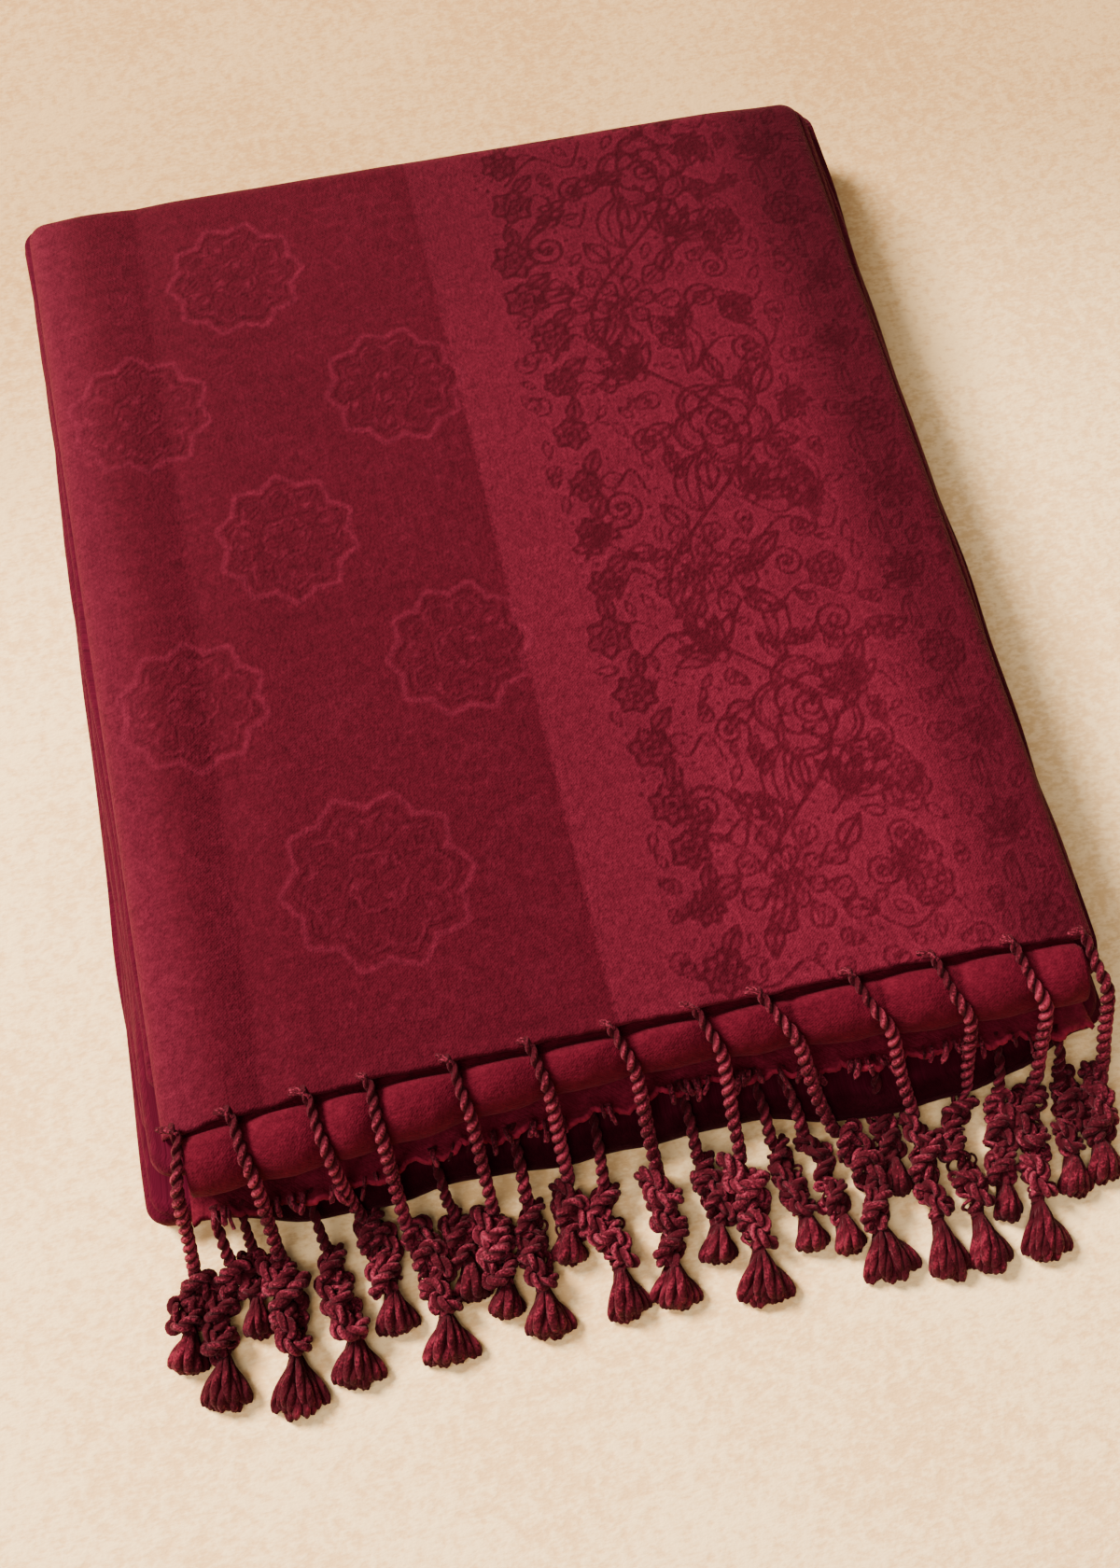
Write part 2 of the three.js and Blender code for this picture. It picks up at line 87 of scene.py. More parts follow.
LOW_FOLD_BULGE = 5.5
MORE_BULGE = {"reach": 6.5, "x": 74, "width": 35}
NOTCH_BACK = -143
NOTCH_Z = 2 * LAYER
LARGE_FOLD_Z = 4 * LAYER
LEDGE_Z = 5 * LAYER
THIN_FOLD_SHARE = 0.62
THIN_FOLD_DEPTH = 1.9
GROOVE_DEPTH = 1.1
THIN_LAYERS = 13
LAYER_WANDER = 1.1
LAYER_OUT = 0.9
LAYER_IN = 0.5
LARGE_FOLD_INSET = 6
SMALL_FOLD_INSET = 4
LOW_FOLD_WANDER = 1.5
END_BACK = -145
END_THICK = 1.4
END_PAST_FOLD = 5
END_UNDERSIDE = NOTCH_Z + SEAM_GAP
END_CURL = 4.2
ARCH = 12.3
FOOT_FORWARD = 2
FOOT_Z = 3.4

# How finely the cloth's surfaces are divided: a number of steps, or a step's size in mm
ROLL_STEPS = 11
FIELD_STEPS = 118
BORDER_STEPS = 124
LENGTH_STEPS = 290
BAND_STEP = 0.9
END_STEP = 0.8
STACK_STEP = 0.42

# The woven stripe between the field and the floral border
STRIPE_LEFT = -6.5
STRIPE_RIGHT = 11.5
BORDER_LANE = (97, 102)

# Painted shadow on the low fold under the round fold, a lighter frayed rim and painted light where
# the round fold shades the raw end, and how uneven the cloth's dye is
UNDER_BAND_PAINTED_SHADOW = 0.3
FRAYED_RIM_AND_PAINTED_LIGHT = 2.3
PANEL_TONE = 0.42
PLAIN_TONE = 0.46
THREADS_PER_METRE = 1150.0
RIDGE_HEIGHT = 0.07
CROSSING_HEIGHT = 0.10
SLUB_HEIGHT = 0.85
SLUB_LONG = 0.5
SLUB_SHORT = 1.15
CLOUD_SCALE = 22.0
STREAK_SCALE = (9.0, 260.0, 9.0)
MOTTLE_SCALE = 330.0
CLOUD_WEIGHT = 0.55
MOTTLE_WEIGHT = 3.2
TONE_MIDDLE = 2.15

# The motifs' yarns: from and to which distance in mm they fade in, and how much they cover
FILL_FADE = (0.5, -0.8)
GHOST_FADE = (0.6, -0.4)
LIGHT_FADE = (0.75, -0.5)
DARK_FADE = (0.42, -0.36)
HALO_FADE = (1.5, 0.6)
FILL_COVER = 0.45
GHOST_COVER = 0.13
LIGHT_COVER = 0.46
HALO_COVER = 0.16
DARK_COVER = {"field": 0.62, "border": 0.86}
LIGHT_RAISED = 0.5
DARK_SUNK = -0.35

# How the top layer gets lighter or darker across and along, as painted light and shade: a painted
# highlight on the left roll, painted shade at the right edge and towards the back, painted light
# towards the front. From, to and by how much
LEFT_PAINTED_HIGHLIGHT = (-109.0, -124.0, 0.0, 0.27)
RIGHT_PAINTED_SHADE = (88.0, 118.0, 1.0, 0.58)
BACK_PAINTED_SHADE = (30.0, 150.0, 0.0, 0.22)
FRONT_PAINTED_LIGHT = (10.0, -95.0, 0.0, 0.22)
FRONT_PAINTED_LIGHT_SIDE = (16.0, 45.0)

# Yarns
PLY = 1.14
PLY_OFFSET = 0.92
CORD = 2 * (PLY + PLY_OFFSET)
PLY_PITCH = 7.2
KNOT_CORD = 4.2
STRAND_PITCH = 0.0042
KNOT_PLACES = 96
KNOT_ROUNDS = 1400
TIGHT_KNOT_LENGTH = 8 + 11.6
LOCK_PLY = 1.24
LOCK_OFFSET = 0.86
LOCK_PITCH = 30
END_THREAD = 0.6
EDGE_THREAD = 0.55

# How many small yarns there are
LOOPS_PER_CORD = 9
DASHES_PER_CORD = 3
FRAYED_THREADS = 60

# A brush's levels of locks, how many and how wide, and the way along and aside of a lock's points
LOCK_LEVELS = ((4, 1), (4, 0.72), (2, 0.34))
LOCK_FAN = ((0.34, 0.38), (0.68, 0.76), (0.94, 1.02), (1.0, 1.07))

# The camera, from the four corners of the top panel
CAMERA_AZIMUTH = -15.5614
CAMERA_ELEVATION = 66.2582
CAMERA_ROLL = 2.8772
CAMERA_TARGET = (-0.921, -58.822, 0.0)
CAMERA_DISTANCE = 570.307
CAMERA_LENS = 43.736

# The lights and the floor, in metres
KEY_LIGHT = {
    "place": (-1.75, 1.27, 1.95), "aim": (0, 0, 0),
    "size": 1.1, "power": 378, "color": (1.0, 0.93, 0.84),
}
FILL_LIGHT = {
    "place": (-0.6, -0.7, 1.5), "aim": (-0.1, -0.1, 0),
    "size": 1.0, "power": 22, "color": (1.0, 0.95, 0.90),
}
ROOM_COLOR = (1.0, 0.96, 0.90, 1.0)
ROOM_LIGHT = 0.37
FLOOR_HALF = 1.6

# Upper cords: root, crossing of the round fold, foot on the floor, knots, neck and tip
UPPER_COLUMNS = (
    "root_x", "band_x", "foot_x", "foot_y", "knot_x", "knot_y",
    "neck_x", "neck_y", "tip_x", "tip_y", "girth", "spread",
)
UPPER_CORDS = [dict(zip(UPPER_COLUMNS, row)) for row in (
    (-123.5, -126, -128, -175, -129, -183, -131, -191, -133.5, -204, 4, 4.5),
    (-109, -106, -105, -177, -104.5, -189, -105.5, -203, -107, -221, 4.6, 7),
    (-89, -86, -81, -172, -79, -181, -78, -192, -78, -206, 4, 5),
    (-73, -72, -70.5, -177, -67.5, -189, -65, -202, -66.5, -217, 4.2, 6.5),
    (-51, -48.5, -47, -178, -47, -187, -47.5, -197, -49.5, -208, 4.2, 4.2),
    (-30, -27, -25.5, -174, -27, -181, -28.5, -188, -30, -198, 3.8, 4.2),
    (-8, -3.5, -1.5, -178, -1.5, -189, -3, -202, -4.5, -216, 4.5, 5.8),
    (15, 20, 21.5, -179, 21, -190, 20.5, -204, 19, -220, 4.4, 7),
    (33, 41, 49.5, -177, 53.5, -191, 54, -205, 54, -222, 4.2, 7),
    (58, 66, 72, -177, 71, -190, 70, -207, 70, -225, 4, 5),
    (81, 87.5, 87, -174, 80.5, -187, 81, -208, 81.5, -226, 4, 5),
    (103, 108.5, 106.5, -176, 103.5, -189, 98.5, -208, 96.5, -226, 4.4, 6.5),
    (122.5, 126, 126, -177, 122.5, -187, 120, -196, 119.5, -209, 4, 5),
)]
LOWER_COLUMNS = (
    "root_x", "foot_x", "foot_y", "knot_x", "knot_y",
    "neck_x", "neck_y", "tip_x", "tip_y", "girth", "spread",
)
LOWER_CORDS = [dict(zip(LOWER_COLUMNS, row)) for row in (
    (-119, -118, -176, -121, -187, -123.5, -199, -125.5, -215, 3.9, 6.5),
    (-112, -112, -173, -112.5, -179, -113.2, -186, -114, -199, 3, 3),
    (-94, -92.5, -178, -91, -190, -89.5, -202, -91, -217, 4.2, 6),
    (-60, -58.5, -174, -57, -182, -56.5, -190, -56.5, -202, 3.5, 4.2),
    (-38, -38, -178, -38, -189, -38.5, -201, -39.5, -216, 3.9, 6),
    (-16, -17, -178, -18, -189, -17.5, -200, -17.5, -216, 4, 5.2),
    (9, 10, -177, 11, -186, 11.5, -195, 9.5, -207, 3.8, 4.4),
    (29, 31, -177, 33.5, -187, 35, -198, 35.5, -209, 3.6, 4),
    (37, 40.5, -176, 43, -187, 44.5, -200, 45.5, -212, 3.2, 3.6),
    (62, 61.5, -173, 62, -181, 62.5, -188, 62.5, -200, 3.1, 3.2),
    (97, 95.5, -177, 92.5, -189, 90.5, -201, 89.5, -213, 3.7, 3.5),
    (114, 114, -175, 114, -185, 111.5, -198, 109.5, -211, 3.4, 3.8),
)]

# Medallions of the field: middle and half width. The last ones are faint.
MEDALLIONS = (
    (-66, 114, 20), (-102, 70, 20), (-25, 64, 20), (-66, 18, 20), (-24, -28, 20),
    (-101, -30, 20), (-60, -93, 25), (-14, -96, 17), (-117, -92, 19),
)
CLEAR_MEDALLIONS = 7
FIELD_TRIES = 400
GAP_TRIES = 4200
MOST_STROKE_PLACES = 120000
STROKE_STEP = 0.4
FAR_AWAY = 9.0


def linear(hex_color):
    """A display colour as the linear colour that a shader socket takes."""
    parts = [int(hex_color[i:i + 2], 16) / 255 for i in (1, 3, 5)]
    out = [p / 12.92 if p <= 0.04045 else ((p + 0.055) / 1.055) ** 2.4 for p in parts]
    return (*out, 1.0)


def mix(a, b, share):
    return a + (b - a) * share


def smooth(low, high, value):
    share = np.clip((value - low) / (high - low), 0, 1)
    return share * share * (3 - 2 * share)


def half_round(q):
    return np.sqrt(np.maximum(0, 1 - q * q))


def wander(value, seed, steps):
    """A smooth line of gentle random waves, from -1 to 1, the same on each run."""
    chance = random.Random(seed)
    total = 0
    size = 0
    for step in steps:
        total = total + step * np.sin(value * 2 * math.pi / step + chance.uniform(0, 6.28))
        size += step
    return total / size


def in_frame(points):
    return (np.asarray(points, dtype=float) + PILE_SHIFT) * MM


def show(name, data, material=None):
    """A new object of the scene, at the origin."""
    piece = bpy.data.objects.new(name, data)
    bpy.context.scene.collection.objects.link(piece)
    if material:
        data.materials.append(material)
    return piece


def lengths(points):
    """How far each point lies along the line through all of them."""
    return np.concatenate([[0], np.cumsum(np.linalg.norm(np.diff(points, axis=0), axis=1))])


def resampled(points, count):
    far = lengths(points)
    at = np.linspace(0, far[-1], count)
    return np.stack([np.interp(at, far, column) for column in points.T], axis=1)


def spaced(points, spacing):
    return resampled(points, max(2, int(lengths(points)[-1] / spacing)))


def curve_through(points, per_span=12):
    """Places on a smooth curve through the points."""
    p = np.asarray(points, dtype=float)
    padded = np.concatenate([[2 * p[0] - p[1]], p, [2 * p[-1] - p[-2]]])
    out = []
    for i in range(len(p) - 1):
        a, b, c, d = padded[i:i + 4]
        for k in range(per_span):
            t = k / per_span
            out.append(0.5 * (
                2 * b + (c - a) * t + (2 * a - 5 * b + 4 * c - d) * t * t
                + (3 * b - a - 3 * c + d) * t ** 3
            ))
    out.append(p[-1])
    return np.array(out)


def cloth_from_grid(name, places, flat, material, around=False, facts=None):
    """A cloth surface from rows of places in mm. flat gives each place on the flat cloth."""
    rows, columns = places.shape[:2]
    last = columns if around else columns - 1
    r, c = np.meshgrid(np.arange(rows - 1), np.arange(last), indexing="ij")
    after = (c + 1) % columns
    quads = np.stack(
        [r * columns + c, r * columns + after, (r + 1) * columns + after, (r + 1) * columns + c],
        axis=-1,
    ).reshape(-1, 4)
    mesh = bpy.data.meshes.new(name)
    mesh.from_pydata(in_frame(places.reshape(-1, 3)), [], quads.tolist())
    layer = mesh.uv_layers.new(name="cloth_mm")
    flat_places = flat.reshape(-1, 2)[quads.reshape(-1)].copy()
    if around:
        seam = (c == columns - 1).reshape(-1)
        width = flat[:, :, 0].max(axis=1)
        wrapped = flat_places.reshape(-1, 4, 2)
        wrapped[seam, 1, 0] = width[r.reshape(-1)[seam]] + 2
        wrapped[seam, 2, 0] = width[r.reshape(-1)[seam] + 1] + 2
        flat_places = wrapped.reshape(-1, 2)
    layer.data.foreach_set("uv", (flat_places * MM).astype(np.float32).reshape(-1))
    for key, values in (facts or {}).items():
        field = mesh.attributes.new(key, "FLOAT", "POINT")
        field.data.foreach_set("value", np.asarray(values, dtype=np.float32).reshape(-1))
    mesh.shade_smooth()
    mesh.update()
    return show(name, mesh, material)


# Shader helpers

def new_material(name):
    """A material and the wires of its nodes."""
    material = bpy.data.materials.new(name)
    material.use_nodes = True
    return material, Wires(material.node_tree)


def finished(material, wires, color, height, look):
    """The material with its colour, its bumps and the rest of its look."""
    shader = material.node_tree.nodes["Principled BSDF"]
    bumps = {"Strength": look["bump"], "Distance": BUMP_DEPTH, "Height": height}
    normal = wires.node("ShaderNodeBump", bumps).outputs["Normal"]
    settings = {
        "Base Color": color, "Roughness": look["roughness"], "Specular IOR Level": SPECULAR,
        "Specular Tint": look["tint"], "Sheen Weight": look["sheen"], "Sheen Tint": look["tint"],
        "Sheen Roughness": SHEEN_ROUGHNESS, "Normal": normal,
    }
    for name, value in settings.items():
        wires.plug(shader.inputs[name], value)
    return material


class Wires:
    """Short calls for the nodes of one tree."""

    def __init__(self, tree):
        self.tree = tree

    def plug(self, socket, value):
        if isinstance(value, bpy.types.NodeSocket):
            self.tree.links.new(value, socket)
        else:
            socket.default_value = value

    def node(self, kind, inputs=None, **settings):
        """A new node. inputs gives the value or wire of each socket by its name or number."""
        made = self.tree.nodes.new(kind)
        for key, value in settings.items():
            setattr(made, key, value)
        for key, value in (inputs or {}).items():
            self.plug(made.inputs[key], value)
        return made

    def math(self, operation, a, b=0.0, c=0.0):
        return self.node("ShaderNodeMath", {0: a, 1: b, 2: c}, operation=operation).outputs[0]

    def add(self, a, b):
        return self.math("ADD", a, b)

    def subtract(self, a, b):
        return self.math("SUBTRACT", a, b)

    def multiply(self, a, b):
        return self.math("MULTIPLY", a, b)

    def multiply_add(self, a, b, c):
        return self.math("MULTIPLY_ADD", a, b, c)

    def vector(self, operation, first, second=(0.0, 0.0, 0.0)):
        return self.node("ShaderNodeVectorMath", {0: first, 1: second}, operation=operation).outputs

    def scaled(self, vector, amount):
        inputs = {0: vector, "Scale": amount}
        return self.node("ShaderNodeVectorMath", inputs, operation="SCALE").outputs[0]

    def split(self, vector):
        """The first two parts of a vector."""
        return self.node("ShaderNodeSeparateXYZ", {0: vector}).outputs[:2]

    def range(self, value, low, high, to_low=0.0, to_high=1.0):
        """A value's soft step from low to high, which works also where low is above high."""
        inputs = {
            "Value": value, "From Min": low, "From Max": high, "To Min": to_low, "To Max": to_high,
        }
        made = self.node("ShaderNodeMapRange", inputs, interpolation_type="SMOOTHSTEP")
        return made.outputs["Result"]

    def blend(self, share, first, second, kind="MIX"):
        inputs = {"Factor": share, 6: first, 7: second}
        return self.node("ShaderNodeMix", inputs, data_type="RGBA", blend_type=kind).outputs[2]

    def noise(self, place, scale, detail=2.0, roughness=0.5):
        inputs = {"Vector": place, "Scale": scale, "Detail": detail, "Roughness": roughness}
        return self.node("ShaderNodeTexNoise", inputs).outputs["Fac"]

    def stretched(self, place, scale):
        return self.node("ShaderNodeMapping", {"Vector": place, "Scale": scale}).outputs["Vector"]

    def fact(self, name, output="Fac"):
        return self.node("ShaderNodeAttribute", attribute_name=name).outputs[output]

    def group(self, tree, **inputs):
        return self.node("ShaderNodeGroup", inputs, node_tree=tree).outputs

    def shaded(self, color, *shades):
        """A colour made lighter or darker by each shade in turn."""
        if not isinstance(color, bpy.types.NodeSocket):
            color = color[:3]
        for shade in shades:
            color = self.scaled(color, shade)
        return color


def new_group(name, kind, inputs, outputs):
    """A node group with its sockets, its wires, and what comes in and goes out."""
    tree = bpy.data.node_groups.new(name, kind)
    for way, sockets in (("INPUT", inputs), ("OUTPUT", outputs)):
        for socket, kind_of_value in sockets.items():
            tree.interface.new_socket(socket, in_out=way, socket_type="NodeSocket" + kind_of_value)
    wires = Wires(tree)
    return tree, wires, wires.node("NodeGroupInput").outputs, wires.node("NodeGroupOutput").inputs


def weave_group():
    """Woven ground: twill ridges over crossing threads, with uneven yarns."""
    tree, wires, start, end = new_group(
        "twill weave", "ShaderNodeTree",
        {"Place": "Vector", "Threads": "Float"}, {"Height": "Float", "Shade": "Float"})
    threads = wires.scaled(start["Place"], start["Threads"])
    across, along = wires.split(threads)
    uneven = wires.noise(threads, 0.35)
    shifted = wires.add(wires.add(across, along), uneven)
    ridge = wires.math("SINE", wires.multiply(shifted, math.pi))
    warp = wires.math("SINE", wires.multiply(across, 2 * math.pi))
    weft = wires.math("SINE", wires.multiply(along, 2 * math.pi))
    slub_across = wires.noise(wires.stretched(threads, (SLUB_LONG, SLUB_SHORT, 1.0)), 1.0, 1.0)
    slub_along = wires.noise(wires.stretched(threads, (SLUB_SHORT, SLUB_LONG, 1.0)), 1.0, 1.0)
    slubs = wires.subtract(wires.add(slub_across, slub_along), 1.0)
    twill = wires.multiply_add(ridge, RIDGE_HEIGHT, 0.5)
    total = wires.multiply_add(wires.multiply(warp, weft), CROSSING_HEIGHT, twill)
    height = wires.multiply_add(slubs, SLUB_HEIGHT, total)
    wires.plug(end["Height"], height)
    wires.plug(end["Shade"], wires.multiply_add(wires.subtract(height, 0.5), 0.5, 1.0))
    return tree


def tone_group():
    """Mottled differences of dye and wear, with soft clouds and thin streaks along the weft."""
    tree, wires, start, end = new_group(
        "dye tone", "ShaderNodeTree", {"Place": "Vector", "Strength": "Float"}, {"Shade": "Float"})
    clouds = wires.noise(start["Place"], CLOUD_SCALE, 3.0)
    streaks = wires.noise(wires.stretched(start["Place"], STREAK_SCALE), 1.0)
    mottle = wires.noise(start["Place"], MOTTLE_SCALE, 3.0, 0.75)
    large = wires.multiply(wires.add(clouds, streaks), CLOUD_WEIGHT)
    centred = wires.subtract(wires.multiply_add(mottle, MOTTLE_WEIGHT, large), TONE_MIDDLE)
    wires.plug(end["Shade"], wires.multiply_add(centred, start["Strength"], 1.0))
    return tree


WEAVE = weave_group()
TONE = tone_group()


def woven(wires, tone):
    """The place on the flat cloth, the height of its weave, and the shades of its weave and dye."""
    place = wires.node("ShaderNodeUVMap", uv_map="cloth_mm").outputs["UV"]
    weave = wires.group(WEAVE, Place=place, Threads=THREADS_PER_METRE)
    dye = wires.group(TONE, Place=place, Strength=tone)
    return place, weave["Height"], (weave["Shade"], dye["Shade"])


def panel_material():
    """The top layer's cloth: field, stripe and border, and motifs from the distances to them."""
    material, wires = new_material("jacquard panel")
    place, weave_height, shades = woven(wires, PANEL_TONE)
    across, along = [wires.multiply(part, 1 / MM) for part in wires.split(place)]
    rough_edge = wires.multiply_add(weave_height, 1.2, across)
    in_stripe = wires.range(rough_edge, STRIPE_LEFT, STRIPE_LEFT + 1.6)
    in_border = wires.range(rough_edge, STRIPE_RIGHT, STRIPE_RIGHT + 3.5)
    ground = wires.blend(in_stripe, FIELD_RED, STRIPE_RED)
    ground = wires.blend(in_border, ground, BORDER_RED)
    fill = wires.range(wires.fact("fill"), *FILL_FADE)
    filled = wires.multiply(fill, wires.range(in_border, 0.0, 1.0, 0.0, FILL_COVER))
    filled = wires.multiply(filled, wires.range(across, 30.0, 60.0, 1.0, 0.55))
    ground = wires.blend(filled, ground, MOTIF_FILL)
    ghost = wires.range(wires.fact("ghost"), *GHOST_FADE, 0.0, GHOST_COVER)
    ground = wires.blend(ghost, ground, OUTLINE_RED)
    light = wires.range(wires.fact("light"), *LIGHT_FADE, 0.0, LIGHT_COVER)
    ground = wires.blend(light, ground, OUTLINE_RED)
    dark_edge = wires.fact("dark")
    halo = wires.multiply(wires.range(dark_edge, *HALO_FADE), HALO_COVER)
    ground = wires.blend(wires.multiply(halo, in_border), ground, OUTLINE_RED)
    dark = wires.range(dark_edge, *DARK_FADE)
    depth = wires.range(in_border, 0.0, 1.0, DARK_COVER["field"], DARK_COVER["border"])
    depth = wires.multiply(depth, wires.range(across, 70.0, 115.0, 1.0, 0.72))
    ground = wires.blend(wires.multiply(dark, depth), ground, MOTIF_RED)
    # Painted highlight: the left roll lighter and pinker, where the light from the left falls on it
    ground = wires.blend(wires.range(across, *LEFT_PAINTED_HIGHLIGHT), ground, PAINTED_HIGHLIGHT_RED)
    # Painted shade: darker at the right edge, where the cloth turns away from the light, and
    # towards the back of the stripe and border
    back_painted_shade = wires.multiply(wires.range(along, *BACK_PAINTED_SHADE), in_stripe)
    right_and_back_painted_shade = wires.multiply(wires.range(across, *RIGHT_PAINTED_SHADE), wires.subtract(1.0, back_painted_shade))
    # Painted light: the border lighter towards the front, where more light falls
    front_painted_light = wires.range(along, *FRONT_PAINTED_LIGHT)
    front_painted_light = wires.multiply(front_painted_light, wires.range(across, *FRONT_PAINTED_LIGHT_SIDE))
    color = wires.shaded(ground, *shades, right_and_back_painted_shade, wires.add(front_painted_light, 1.0))
    raised = wires.multiply_add(light, LIGHT_RAISED, weave_height)
    height = wires.multiply_add(dark, DARK_SUNK, raised)
    return finished(material, wires, color, height, PANEL_LOOK)


def plain_material(name, color, fact="", fact_shade=1.0):
    """Plain cloth. It gets lighter or darker by the shade where the piece's fact is 1."""
    material, wires = new_material(name)
    place, height, shades = woven(wires, PLAIN_TONE)
    color = wires.shaded(color, *shades)
    if fact:
        color = wires.shaded(color, wires.range(wires.fact(fact), 0.0, 1.0, 1.0, fact_shade))
    return finished(material, wires, color, height, PLAIN_LOOK)


def yarn_material(name, color, light):
    """Yarn with fine twisted strands, and a painted highlight in patches on its ridges, where light
    catches them.
    """
    material, wires = new_material(name)
    place = wires.node("ShaderNodeTexCoord").outputs["Object"]
    fuzz = wires.noise(place, 1500.0, 2.0, 0.6)
    patches = wires.noise(place, 60.0)
    x, y = wires.split(wires.fact("round", "Vector"))
    twice_x = wires.subtract(wires.multiply(x, x), wires.multiply(y, y))
    twice_y = wires.multiply(wires.multiply(x, y), 2.0)
    phase = wires.multiply(wires.fact("far"), 2 * math.pi / STRAND_PITCH)
    first = wires.multiply(twice_x, wires.math("COSINE", phase))
    strand = wires.multiply_add(twice_y, wires.math("SINE", phase), first)
    shared = wires.multiply_add(patches, 0.40, wires.multiply(fuzz, 0.60))
    # Painted highlight: lighter on the plies' ridges and strands, in patches
    painted_highlight = wires.range(shared, 0.40, 0.62)
    painted_highlight = wires.multiply(painted_highlight, wires.range(wires.fact("ridge"), 0.60, 0.97))
    painted_highlight = wires.multiply(painted_highlight, wires.range(strand, -0.9, 0.7, 0.25, 1.0))
    height = wires.multiply_add(strand, 0.35, fuzz)
    return finished(material, wires, wires.blend(painted_highlight, color, light), height, YARN_LOOK)


def floor_material():
    """Pale floor with a fine grain and soft clouds, and painted shade that makes it darker at the
    back.
    """
    material, wires = new_material("pale floor")
    place = wires.node("ShaderNodeTexCoord").outputs["Object"]
    grain = wires.noise(place, 240.0, 3.0, 0.6)
    clouds = wires.noise(place, 14.0, 3.0, 0.55)
    share = wires.multiply_add(grain, 0.58, wires.multiply(clouds, 0.42))
    fibre = wires.noise(wires.stretched(place, (420.0, 900.0, 400.0)), 1.0, 2.0, 0.6)
    share = wires.multiply_add(fibre, 0.32, wires.multiply(share, 0.68))
    color = wires.blend(wires.range(share, 0.41, 0.57), FLOOR_TAN, FLOOR_PALE)
    # Painted shade: the floor darker towards the back
    floor_painted_shade_share = wires.multiply_add(clouds, 0.10, wires.split(place)[1])
    color = wires.blend(wires.range(floor_painted_shade_share, 0.08, 0.27), color, FLOOR_BACK_PAINTED_SHADE, "MULTIPLY")
    return finished(material, wires, color, wires.add(grain, fibre), FLOOR_LOOK)


FIELD_RED = linear("#380812")
STRIPE_RED = linear("#460e1a")
BORDER_RED = linear("#460e1a")
MOTIF_RED = linear("#2c050c")
MOTIF_FILL = linear("#30060e")
OUTLINE_RED = linear("#541423")
PLAIN_RED = linear("#420a16")
# A darker copy of the plain cloth's red, as painted shade on the pile's sides
SHADED_SIDE_RED = linear("#3a0716")
# The colour of the painted highlight on the left roll
PAINTED_HIGHLIGHT_RED = linear("#601b2c")
END_RED = linear("#480d19")
YARN_RED = linear("#2c060d")
YARN_PAINTED_HIGHLIGHT = linear("#83283b")
FLOOR_TAN = linear("#eab97c")
FLOOR_PALE = linear("#ffd79c")
FLOOR_BACK_PAINTED_SHADE = (0.56, 0.50, 0.43, 1.0)

SPECULAR = 0.08
SHEEN_ROUGHNESS = 0.45
BUMP_DEPTH = 0.0006
CLOTH_TINT = (1.0, 0.22, 0.3, 1.0)
PANEL_LOOK = {"roughness": 0.82, "sheen": 0.05, "tint": CLOTH_TINT, "bump": 0.6}
PLAIN_LOOK = {"roughness": 0.85, "sheen": 0.05, "tint": CLOTH_TINT, "bump": 0.5}
YARN_LOOK = {"roughness": 0.8, "sheen": 0.08, "tint": (1.0, 0.35, 0.4, 1.0), "bump": 0.9}
FLOOR_LOOK = {"roughness": 0.9, "sheen": 0.0, "tint": (1.0, 1.0, 1.0, 1.0), "bump": 0.45}

PANEL_CLOTH = panel_material()
PLAIN_CLOTH = plain_material("plain cloth", PLAIN_RED)
# Side cloth: painted shade from its darker red, and painted shadow under the round fold where its
# fact is 1
SIDE_CLOTH = plain_material("side cloth", SHADED_SIDE_RED, "under_band_shadow", UNDER_BAND_PAINTED_SHADOW)
# End cloth: painted light in the round fold's shade and a lighter frayed rim, by its fact
END_CLOTH = plain_material("end cloth", END_RED, "frayed", FRAYED_RIM_AND_PAINTED_LIGHT)
CORD_YARN = yarn_material("cord yarn", YARN_RED, YARN_PAINTED_HIGHLIGHT)
# The brush yarn's lighter colour is its painted highlight
BRUSH_YARNS = yarn_material("brush yarn", YARN_RED, linear("#681a2a"))


# Motifs: strokes in mm, each an array of places with a half width

def line(points, width):
    """A stroke along straight steps between the points."""
    places = spaced(np.asarray(points, dtype=float), STROKE_STEP)
    return np.column_stack([places, np.full(len(places), width)])


def off(x, y, away, angle):
    """The place at a distance and an angle from another."""
    return x + away * math.cos(angle), y + away * math.sin(angle)


def turned(x, y, along, aside, turn):
    """Places by how far they lie along a turned way from a start, and to its left."""
    return np.stack([
        x + along * math.cos(turn) - aside * math.sin(turn),
        y + along * math.sin(turn) + aside * math.cos(turn),
    ], axis=1)


def polar(cx, cy, angles, radii, width):
    places = np.stack([cx + radii * np.cos(angles), cy + radii * np.sin(angles)], axis=1)
    return line(places, width)


def lobed(cx, cy, radius, lobes, depth, width, turn=0.0, tip=0.0):
    """A closed scalloped line, a little uneven. tip draws each lobe out to a point."""
    angles = np.linspace(0, 2 * math.pi, 40 + lobes * 20)
    wave = np.abs(np.cos(lobes * (angles - turn) / 2))
    point = np.maximum(0, wave - 0.80) / 0.20
    uneven = 0.022 * np.sin(2 * angles + 5 * turn) + 0.014 * np.sin(5 * angles + 1.7 * turn)
    radii = radius * (1 - depth * (1 - wave ** 0.6) + tip * point * point + uneven)
    return polar(cx, cy, angles, radii, width)


def ring(cx, cy, radius, width):
    angles = np.linspace(0, 2 * math.pi, max(10, int(radius * 8)))
    return polar(cx, cy, angles, np.full(len(angles), radius), width)


def spiral(cx, cy, inner, outer, turns, turn, width):
    angles = np.linspace(0, turns * 2 * math.pi, int(24 * turns) + 4)
    return polar(cx, cy, angles + turn, np.linspace(inner, outer, len(angles)), width)


